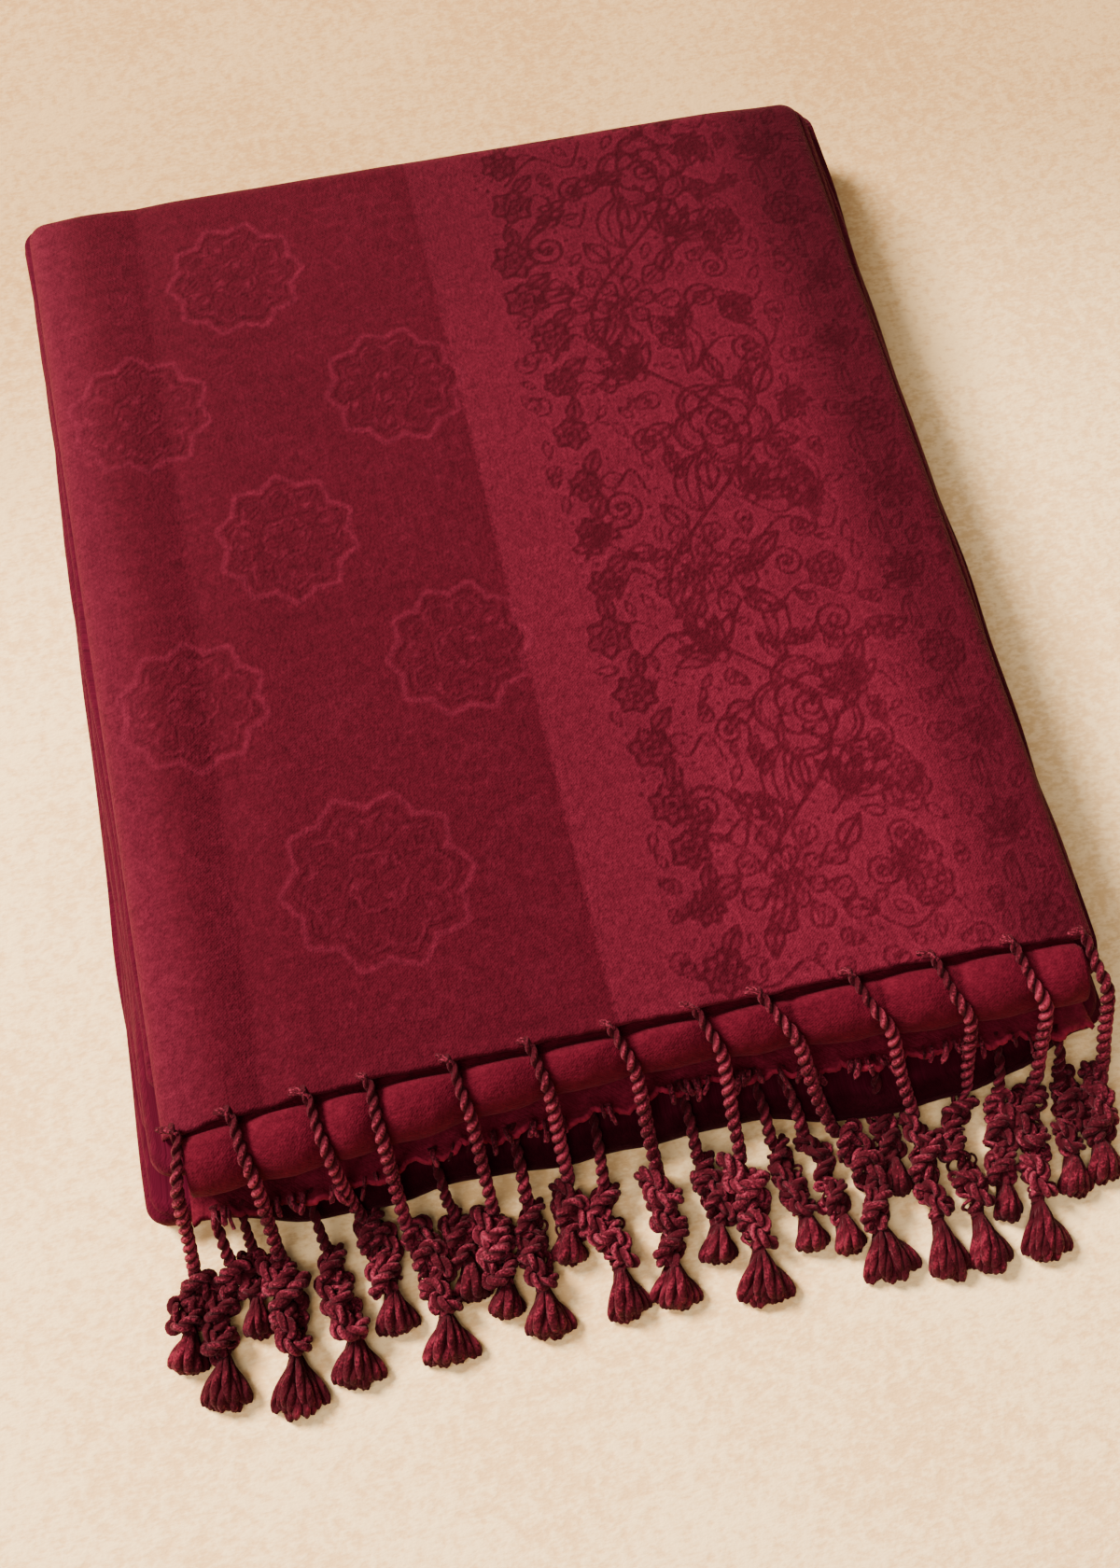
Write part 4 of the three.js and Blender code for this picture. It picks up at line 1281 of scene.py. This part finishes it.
def stacked_sides():
    """The folded layers: sections at many heights, closed underneath."""
    heights = set(np.round(np.arange(0, CORE_TOP, STACK_STEP), 3))
    core_edges = (FOLD_MIDDLE_Z - FOLD_CORE, FOLD_MIDDLE_Z + FOLD_CORE)
    for edge in (NOTCH_Z, *core_edges, LARGE_FOLD_Z, LEDGE_Z):
        heights.update((edge - 0.02, edge + 0.02))
    heights.add(CORE_TOP)
    z = np.array(sorted(heights))[:, None]
    shares = outline_shares()
    across = shares[None, :, 0]
    along = shares[None, :, 1]
    y = mix(-150.0, 150.0, along) + 0 * z
    x = mix(-side_reach(z, along, y, LEFT_SIDE), side_reach(z, along, y, RIGHT_SIDE), across)
    y = mix(front_reach(z, x), back_reach(z, x), along)
    places = np.stack([x, y, z + 0 * x], axis=-1)
    far = lengths(places[len(z) // 3])
    flat = np.stack([far[None, :] + 0 * z, 1.3 * z + 0 * x], axis=-1)
    places = np.concatenate([[places[0] * 0], [places[0] * np.array([0.5, 0.5, 1])], places])
    lead = [flat[0] * 0 + np.array([0, -120]), flat[0] - np.array([0, 70])]
    flat = np.concatenate([np.array(lead), flat])
    side = places[..., 0]
    # Painted shadow: the low fold's front made darker under the round fold, which shades it
    painted_shadow = smooth(-146, -154, places[..., 1]) * smooth(2.1 * LAYER, 1.9 * LAYER, places[..., 2])
    painted_shadow = painted_shadow * smooth(-118, -104, side) * smooth(126, 116, side)
    facts = {"under_band_shadow": painted_shadow}
    return cloth_from_grid("stacked_sides", places, flat, SIDE_CLOTH, around=True, facts=facts)


# Yarn, cords and brushes

def tight_knot():
    """An overhand knot in a cord of thickness 1, drawn tight along x: its places in order."""
    t = np.linspace(math.pi + 0.35, 3 * math.pi - 0.35, 64)
    heart = np.stack([
        np.sin(t) + 2 * np.sin(2 * t), np.cos(t) - 2 * np.cos(2 * t), -1.2 * np.sin(3 * t)], axis=1)
    start = curve_through([(9, -6, 0), (4, -5.6, 0), (1.2, -4.6, 0.3), heart[0]], 6)[:-1]
    end = curve_through([heart[-1], (-1.2, -4.6, -0.3), (-4, -5.6, 0), (-9, -6, 0)], 6)[1:]
    loose = np.concatenate([start, heart, end])
    length = lengths(loose)[-1]
    p = resampled(loose, KNOT_PLACES)
    index = np.arange(KNOT_PLACES)
    ends_from = (p[0].copy(), p[-1].copy())
    ends_to = (np.array([4.0, 0, 0]), np.array([-4.0, 0, 0]))
    for turn in range(KNOT_ROUNDS):
        share = min(1, turn / (KNOT_ROUNDS * 0.8))
        rest = mix(length, TIGHT_KNOT_LENGTH, share) / (KNOT_PLACES - 1)
        near = max(4, int(1.9 / rest))
        apart = p[:, None] - p[None]
        away = np.linalg.norm(apart, axis=2) + 1e-9
        close = (np.abs(index[:, None] - index[None]) > near) & (away < 1.0)
        push = np.where(close, (1.0 - away) / away, 0)[..., None] * apart
        p = p + 0.25 * push.sum(axis=1) / np.maximum(1, close.sum(axis=1))[:, None]
        p[1:-1] += 0.12 * (p[:-2] + p[2:] - 2 * p[1:-1])
        for again in range(4):
            step = np.diff(p, axis=0)
            size = np.linalg.norm(step, axis=1)[:, None]
            fix = 0.5 * (size - rest) / size * step
            p[:-1] += fix * 0.5
            p[1:] -= fix * 0.5
            p[0] = mix(ends_from[0], ends_to[0], share)
            p[-1] = mix(ends_from[1], ends_to[1], share)
    inner = np.flatnonzero(np.abs(p[:, 0]) < 1.4)
    p = p[inner[0]:inner[-1] + 1]
    return p[::-1] + np.array([0, 0.9, 0])


KNOT = tight_knot()
UP = np.array([0, 0, 1.0])


def at(form, x):
    """What a form of the cloth gives at one x."""
    return float(form(np.array(x)))


def on_floor(cord, part, z):
    """The place of a cord's foot, knot, neck or tip, at a height over the floor."""
    return np.array([cord[part + "_x"], cord[part + "_y"], z])


def level_ways(step):
    """The unit ways along a step and to its left, level with the floor, and the step's length."""
    along = np.array([step[0], step[1], 0.0])
    length = np.linalg.norm(along)
    along /= length
    return along, np.array([-along[1], along[0], 0]), length


def yarn_run(path, thick):
    """A path with its thickness share as the last number of each place."""
    return np.column_stack([path, np.broadcast_to(thick, len(path))])


def with_knot(centre, direction, roll, size):
    """The knot's places round a centre, with its ends along the direction."""
    along, side, length = level_ways(direction)
    c, s = math.cos(roll), math.sin(roll)
    local = KNOT * size
    y = local[:, 1] * c - local[:, 2] * s
    z = (local[:, 1] * s + local[:, 2] * c) * 0.9
    places = centre + local[:, :1] * along + y[:, None] * side + z[:, None] * UP
    lowest = places[:, 2].min() - size / 2
    places[:, 2] += max(0, 0.4 - lowest)
    return places


def floor_run(cord, chance):
    """The knots and the neck of a cord on the floor, with thickness shares."""
    foot = on_floor(cord, "foot", 3.6) - np.array([0, FOOT_FORWARD, 0])
    knot = on_floor(cord, "knot", 3.6)
    neck = on_floor(cord, "neck", 2.6)
    shares = (0.1, 0.76) if np.linalg.norm(neck - knot) > 9 else (0.0, 0.74)
    ties = [(mix(knot, neck, share), neck - knot) for share in shares]
    if np.linalg.norm(knot - foot) > 6.8:
        ties.insert(0, (mix(foot, knot, 0.42), knot - foot))
    runs = []
    for centre, along in ties:
        size = KNOT_CORD * cord["girth"] / 4.4 * chance.uniform(0.92, 1.08)
        tied = with_knot(centre, along, chance.uniform(0, 2 * math.pi), size)
        runs.append(yarn_run(tied, 0.98 * size / CORD))
    runs.append(yarn_run([mix(neck, knot, -0.05)], 0.7))
    return np.concatenate(runs)


def upper_path(cord):
    """The way of an upper cord from the free edge over the round fold to the floor."""
    edge = at(free_edge_y, cord["root_x"])
    middle = at(fold_front, cord["band_x"]) + FOLD_RADIUS

    def over(x, degrees, arch):
        turn = math.radians(degrees)
        return (x, middle - arch * math.sin(turn), FOLD_MIDDLE_Z + arch * math.cos(turn))

    root, band, foot = cord["root_x"], cord["band_x"], cord["foot_x"]
    foot_y = cord["foot_y"] - FOOT_FORWARD
    return [
        (root - 1.2, edge + 1.2, 38.3),
        (root - 0.4, edge - 0.2, 38.9),
        (root + 0.3, edge - 2.2, 38.6),
        over(mix(root, band, 0.4), 22, ARCH - 2.0),
        over(mix(root, band, 0.75), 46, ARCH - 0.9),
        over(band, 72, ARCH),
        (mix(band, foot, 0.35), mix(middle - ARCH, foot_y, 0.5), 18.5),
        (mix(band, foot, 0.75), mix(middle - ARCH, foot_y, 0.95), 9.5),
        (foot, foot_y, FOOT_Z),
    ]


def lower_path(cord):
    """The way of a lower cord from the raw end over the low fold to the floor."""
    root, foot = cord["root_x"], cord["foot_x"]
    root_y = at(end_front, root) - 0.5
    foot_y = cord["foot_y"] - FOOT_FORWARD
    return [
        (root, root_y + 3, 16.4),
        (root, root_y - 1.5, 15.6),
        (mix(root, foot, 0.3), mix(root_y, foot_y, 0.42), 15.3),
        (mix(root, foot, 0.7), mix(root_y, foot_y, 0.90), 9.2),
        (foot, foot_y, FOOT_Z),
    ]


def cord_places(cord, path, chance):
    """A whole cord's smoothed places with thickness shares: down the pile and through its knots."""
    hanging = spaced(curve_through(path, 14), 0.9)
    thick = chance.uniform(0.93, 1.05) * (0.72 + 0.28 * smooth(2, 26, np.arange(len(hanging))))
    both = spaced(np.concatenate([yarn_run(hanging, thick)[:-2], floor_run(cord, chance)]), 0.55)
    for again in range(5):
        both[1:-1] = 0.25 * both[:-2] + 0.5 * both[1:-1] + 0.25 * both[2:]
    return both


def brush_places(cord, chance):
    """One brush: locks fanned out from the neck at three levels, and a coil round the neck."""
    neck = on_floor(cord, "neck", 2.9)
    along, side, length = level_ways(on_floor(cord, "tip", 0.0) - neck)
    runs = []
    locks = [
        (place, level) for level, (count, width) in enumerate(LOCK_LEVELS)
        for place in np.linspace(-width, width, count)
    ]
    for place, level in locks:
        place += chance.uniform(-0.12, 0.12)
        reach = length * (0.99 - 0.13 * place ** 2 - 0.05 * level + chance.uniform(-0.06, 0.03))
        out = cord["spread"] * place * 0.92
        height = 2.1 + 1.8 * level * (1 - 0.3 * abs(place))
        fan_heights = (
            mix(neck[2], height, 0.7) + 1.0 * (level > 0), height + 0.8,
            max(1.75, height * 0.86), max(1.5, height * 0.6),
        )
        points = [
            neck - along * 2.0 + side * place * 0.5 + UP * 0.35 * level,
            neck + along * 1.0 + side * place * 0.8 + UP * 0.45 * level,
        ]
        for (ahead, aside), fan_height in zip(LOCK_FAN, fan_heights):
            point = neck + along * reach * ahead + side * out * aside
            point[2] = fan_height
            points.append(point)
        path = spaced(curve_through(points, 8), 0.8)
        share = np.linspace(0, 1, len(path))
        thick = 0.36 + 0.64 * smooth(0.05, 0.75, share)
        thick = thick * np.sqrt(np.clip(1 - np.maximum(0, share - 0.9) / 0.13, 0.05, 1))
        runs.append(yarn_run(path, chance.uniform(0.85, 1.25) * thick))
    turns = np.linspace(0, 2.6 * 2 * math.pi, 40)[:, None]
    coil = neck - along * 1.4 + along * 2.8 * np.linspace(0, 1, 40)[:, None]
    coil = coil + side * 1.55 * np.cos(turns) + UP * 1.5 * np.sin(turns)
    coil[:, 2] = np.maximum(coil[:, 2], 0.9)
    runs.append(yarn_run(coil, 0.42))
    return runs


def yarn_tree():
    """Sweeps round yarns along curves. Two plies wind round each other where Ply Offset isn't 0."""
    tree, wires, start, end = new_group("twisted yarn", "GeometryNodeTree", {
        "Geometry": "Geometry", "Yarn Radius": "Float", "Ply Offset": "Float", "Pitch": "Float",
        "Step": "Float", "Sides": "Int", "Material": "Material",
    }, {"Geometry": "Geometry"})

    def made(kind, inputs, output=0, **settings):
        return wires.node("GeometryNode" + kind, inputs, **settings).outputs[output]

    def keep(geometry, name, value, kind="FLOAT_VECTOR"):
        """Stores a value at each point under a name."""
        inputs = {"Geometry": geometry, "Name": name, "Value": value}
        return made("StoreNamedAttribute", inputs, data_type=kind, domain="POINT")

    def tube(path):
        inputs = {"Curve": path, "Profile Curve": profile, "Scale": radius, "Fill Caps": True}
        return made("CurveToMesh", inputs)

    place = made("InputPosition", {})
    along = made("SplineParameter", {}, "Length")
    normal = made("InputNormal", {}, "Normal")
    radius = made("InputRadius", {})
    inputs = {"Resolution": start["Sides"], "Radius": start["Yarn Radius"]}
    circle = made("CurvePrimitiveCircle", inputs, "Curve")
    profile = keep(circle, "round", wires.vector("NORMALIZE", place)[0])
    crossed = wires.vector("CROSS_PRODUCT", made("InputTangent", {}), normal)[0]
    angle = wires.multiply(wires.math("DIVIDE", along, start["Pitch"]), 2 * math.pi)
    reach = wires.multiply(start["Ply Offset"], radius)
    inputs = {"Curve": start["Geometry"], "Length": start["Step"]}
    path = made("ResampleCurve", inputs, mode="LENGTH")
    path = keep(keep(path, "axis", place), "far", along, "FLOAT")
    plies = wires.node("GeometryNodeJoinGeometry")
    for ply in range(2):
        phase = wires.add(angle, math.pi * ply)
        offsets = [
            wires.scaled(direction, wires.multiply(wires.math(operation, phase), reach))
            for operation, direction in (("COSINE", normal), ("SINE", crossed))
        ]
        moved = made("SetPosition", {"Geometry": path, "Offset": wires.vector("ADD", *offsets)[0]})
        wires.plug(plies.inputs[0], tube(moved))
    inputs = {0: start["Ply Offset"], 1: 0.0}
    twisted = wires.node("FunctionNodeCompare", inputs, data_type="FLOAT", operation="GREATER_THAN")
    inputs = {"Switch": twisted.outputs[0], "False": tube(path), "True": plies.outputs[0]}
    yarn = made("Switch", inputs, input_type="GEOMETRY")
    axis = made("InputNamedAttribute", {"Name": "axis"}, "Attribute", data_type="FLOAT_VECTOR")
    apart = wires.vector("DISTANCE", place, axis)["Value"]
    full = wires.add(start["Ply Offset"], start["Yarn Radius"])
    yarn = keep(yarn, "ridge", wires.math("DIVIDE", apart, full), "FLOAT")
    yarn = made("RemoveAttribute", {"Geometry": yarn, "Name": "axis"})
    yarn = made("SetShadeSmooth", {"Geometry": yarn})
    yarn = made("RealizeInstances", {0: yarn})
    yarn = made("SetMaterial", {"Geometry": yarn, "Material": start["Material"]})
    wires.plug(end[0], yarn)
    return tree


YARN_TREE = yarn_tree()


def swept_yarns(name, runs, material, radius, offset=0.0, step=0.7, sides=8, pitch=PLY_PITCH):
    """One mesh of yarns along the runs. A run's fourth number is its thickness share."""
    data = bpy.data.curves.new(name + "_paths", "CURVE")
    data.dimensions = "3D"
    for run in runs:
        spline = data.splines.new("POLY")
        spline.points.add(len(run) - 1)
        rows = yarn_run(in_frame(run[:, :3]), 1)
        spline.points.foreach_set("co", rows.astype(np.float32).reshape(-1))
        spline.points.foreach_set("radius", run[:, 3].astype(np.float32))
    source = show(name + "_paths", data)
    sweep = source.modifiers.new("yarn", "NODES")
    sweep.node_group = YARN_TREE
    settings = {
        "Yarn Radius": radius * MM, "Ply Offset": offset * MM, "Pitch": pitch * MM,
        "Step": step * MM, "Sides": sides, "Material": material,
    }
    for item in YARN_TREE.interface.items_tree:
        if item.in_out == "INPUT" and item.name in settings:
            sweep[item.identifier] = settings[item.name]
    graph = bpy.context.evaluated_depsgraph_get()
    mesh = bpy.data.meshes.new_from_object(source.evaluated_get(graph))
    mesh.name = name
    bpy.data.objects.remove(source)
    bpy.data.curves.remove(data)
    return show(name, mesh)


def fringe(cords_name, brushes_name, cords, path_of, seed):
    """The cords and the brushes of one end of the shawl."""
    chance = random.Random(seed)
    runs = [cord_places(cord, path_of(cord), chance) for cord in cords]
    cord_piece = swept_yarns(cords_name, runs, CORD_YARN, PLY, PLY_OFFSET)
    locks = [lock for cord in cords for lock in brush_places(cord, chance)]
    brush_piece = swept_yarns(
        brushes_name, locks, BRUSH_YARNS, LOCK_PLY, LOCK_OFFSET,
        step=0.9, sides=7, pitch=LOCK_PITCH)
    return cord_piece, brush_piece


def root_dashes():
    """Short ends of the edge thread at the upper cords' roots, and loose yarn about their knots."""
    chance = random.Random(53)
    runs = []
    for cord in UPPER_CORDS:
        x = cord["root_x"]
        y = at(free_edge_y, x)
        for k in range(DASHES_PER_CORD):
            long = chance.uniform(2.2, 4.6)
            z = 39.5 + chance.uniform(-0.2, 0.3)
            points = [
                (x + 0.6, y - 1.3 - 0.2 * k, z - 0.5), (x - long * 0.5, y - 0.3 + 0.5 * k, z + 0.5),
                (x - long, y + chance.uniform(-0.4, 0.9) + 0.5 * k, z - 0.2),
            ]
            path = spaced(curve_through(points, 6), 0.6)
            runs.append(yarn_run(path, chance.uniform(0.8, 1.15)))
    runs += stray_loops(UPPER_CORDS, 67) + knot_wraps(UPPER_CORDS, 73, 2.0)
    return swept_yarns("root_dashes", runs, CORD_YARN, EDGE_THREAD, step=0.7, sides=6)


def stray_loops(cords, seed):
    """Thin loops of yarn that stand out of the knots."""
    chance = random.Random(seed)
    runs = []
    for cord in cords:
        knot = on_floor(cord, "knot", 4.0)
        neck = on_floor(cord, "neck", 3.4)
        for k in range(LOOPS_PER_CORD):
            centre = mix(knot, neck, chance.uniform(-0.2, 1.0))
            turn = chance.uniform(0, 2 * math.pi)
            way = np.array([math.cos(turn), math.sin(turn), 0])
            aside = np.array([-way[1], way[0], 0])
            far = chance.uniform(2.8, 5.0)
            wide = chance.uniform(0.8, 2.0)
            rise = np.array([0, 0, chance.uniform(-1.2, 1.6)])
            points = [
                centre + way * 1.0, centre + way * far * 0.75 + aside * wide + rise,
                centre + way * far + rise, centre + way * far * 0.7 - aside * wide + rise * 0.6,
                centre + way * 0.8 - aside * 0.8,
            ]
            path = spaced(curve_through(points, 6), 0.7)
            path[:, 2] = np.maximum(path[:, 2], 1.2)
            runs.append(yarn_run(path, chance.choice((0.7, 1.3, 1.6, 1.9))))
    return runs


def knot_wraps(cords, seed, thicker):
    """Uneven turns of thin yarn round each cord's knots, wound both ways."""
    chance = random.Random(seed)
    runs = []
    for cord in cords:
        foot = on_floor(cord, "foot", 3.8) - np.array([0, 2 * FOOT_FORWARD, 0])
        ways = [foot, on_floor(cord, "knot", 3.8), on_floor(cord, "neck", 3.2)]
        for hand in (1, -1):
            centre = spaced(curve_through(ways), 0.7)
            share = np.linspace(0, 1, len(centre))
            along = np.gradient(centre, axis=0)
            along /= np.linalg.norm(along, axis=1)[:, None]
            aside = np.stack([-along[:, 1], along[:, 0], 0 * share], axis=1)
            pace = 0.8 + 0.5 * np.sin(share * chance.uniform(9, 15) + chance.uniform(0, 6))
            turn = hand * np.cumsum(pace) * 0.62 + chance.uniform(0, 6)
            reach = 2.9 + 0.8 * np.sin(share * chance.uniform(14, 24) + chance.uniform(0, 6))
            reach = reach * cord["girth"] / 4.2
            path = centre + aside * (reach * np.cos(turn))[:, None]
            path[:, 2] += 0.95 * reach * np.sin(turn)
            path[:, 2] = np.maximum(path[:, 2], 0.9)
            thick = chance.uniform(0.55, 0.7) * (0.9 + 0.2 * np.sin(share * 17))
            runs.append(spaced(yarn_run(path, thick), 0.7) * np.array([1, 1, 1, thicker]))
    return runs


def loose_threads():
    """Frayed threads and small loops along the raw end, and loose yarn about the lower knots."""
    chance = random.Random(31)
    runs = []
    for k in range(FRAYED_THREADS):
        x = chance.uniform(-122, 122)
        y = at(end_front, x) - 0.2
        z = END_UNDERSIDE + CLOTH + END_CURL + chance.uniform(-1.4, 0.2)
        way = chance.uniform(-2.4, 2.4)
        size = chance.uniform(1.4, 5.0)
        points = [
            (x, y + 1.5, z), (x + way * 0.3, y - size * 0.4, z + chance.uniform(0, 1.4)),
            (x + way, y - size, z - chance.uniform(-1.4, 1.6)),
        ]
        if chance.random() < 0.6:
            points.append((x + way * 0.4, y - size * 0.4, z + 1.2))
        path = spaced(curve_through(points, 6), 0.7)
        runs.append(yarn_run(path, chance.uniform(0.6, 1.5)))
    runs += stray_loops(LOWER_CORDS, 61) + knot_wraps(LOWER_CORDS, 71, 1.9)
    return swept_yarns("loose_threads", runs, CORD_YARN, END_THREAD, step=0.8, sides=6)


# The camera, the lights and the floor

def place_camera():
    azimuth, elevation, roll = np.radians([CAMERA_AZIMUTH, CAMERA_ELEVATION, CAMERA_ROLL]).tolist()
    back = Vector((
        math.sin(azimuth) * math.cos(elevation), -math.cos(azimuth) * math.cos(elevation),
        math.sin(elevation),
    ))
    level_right = Vector((math.cos(azimuth), math.sin(azimuth), 0))
    level_up = back.cross(level_right)
    right = level_right * math.cos(roll) + level_up * math.sin(roll)
    up = level_up * math.cos(roll) - level_right * math.sin(roll)
    target = Vector(in_frame([CAMERA_TARGET])[0])
    data = bpy.data.cameras.new("camera")
    data.lens = CAMERA_LENS
    data.sensor_width = 36
    data.clip_start = 0.01
    camera = show("camera", data)
    turned = Matrix((right, up, back)).transposed().to_4x4()
    camera.matrix_world = Matrix.Translation(target + back * CAMERA_DISTANCE * MM) @ turned
    bpy.context.scene.camera = camera


def area_light(name, place, aim, size, power, color):
    data = bpy.data.lights.new(name, "AREA")
    data.shape = "DISK"
    data.size = size
    data.energy = power
    data.color = color
    lamp = show(name, data)
    lamp.location = place
    lamp.rotation_euler = (Vector(aim) - Vector(place)).to_track_quat("-Z", "Y").to_euler()


def place_lights():
    area_light("key", **KEY_LIGHT)
    area_light("fill", **FILL_LIGHT)
    world = bpy.data.worlds.new("soft room")
    world.use_nodes = True
    background = world.node_tree.nodes["Background"]
    background.inputs["Color"].default_value = ROOM_COLOR
    background.inputs["Strength"].default_value = ROOM_LIGHT
    bpy.context.scene.world = world


def place_floor():
    mesh = bpy.data.meshes.new("floor")
    corners = [(x * FLOOR_HALF, y * FLOOR_HALF, 0) for x, y in ((-1, -1), (1, -1), (1, 1), (-1, 1))]
    mesh.from_pydata(corners, [], [(0, 1, 2, 3)])
    show("floor", mesh, floor_material())


place_camera()
place_lights()
place_floor()

top = top_cloth()
band = front_band()
end = raw_end()
sides = stacked_sides()
upper_cords, upper_brushes = fringe("upper_cords", "upper_brushes", UPPER_CORDS, upper_path, 11)
lower_cords, lower_brushes = fringe("lower_cords", "lower_brushes", LOWER_CORDS, lower_path, 23)
threads = loose_threads()
dashes = root_dashes()

for piece in (top, band, end, sides):
    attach(piece, "root")
for piece in (upper_cords, upper_brushes, lower_cords, lower_brushes, threads, dashes):
    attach(piece, "root")

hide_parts("top_panel")
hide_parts("front_fold")
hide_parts("lower_end")
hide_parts("folded_layers")
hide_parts("top_fringe")
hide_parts("lower_fringe")
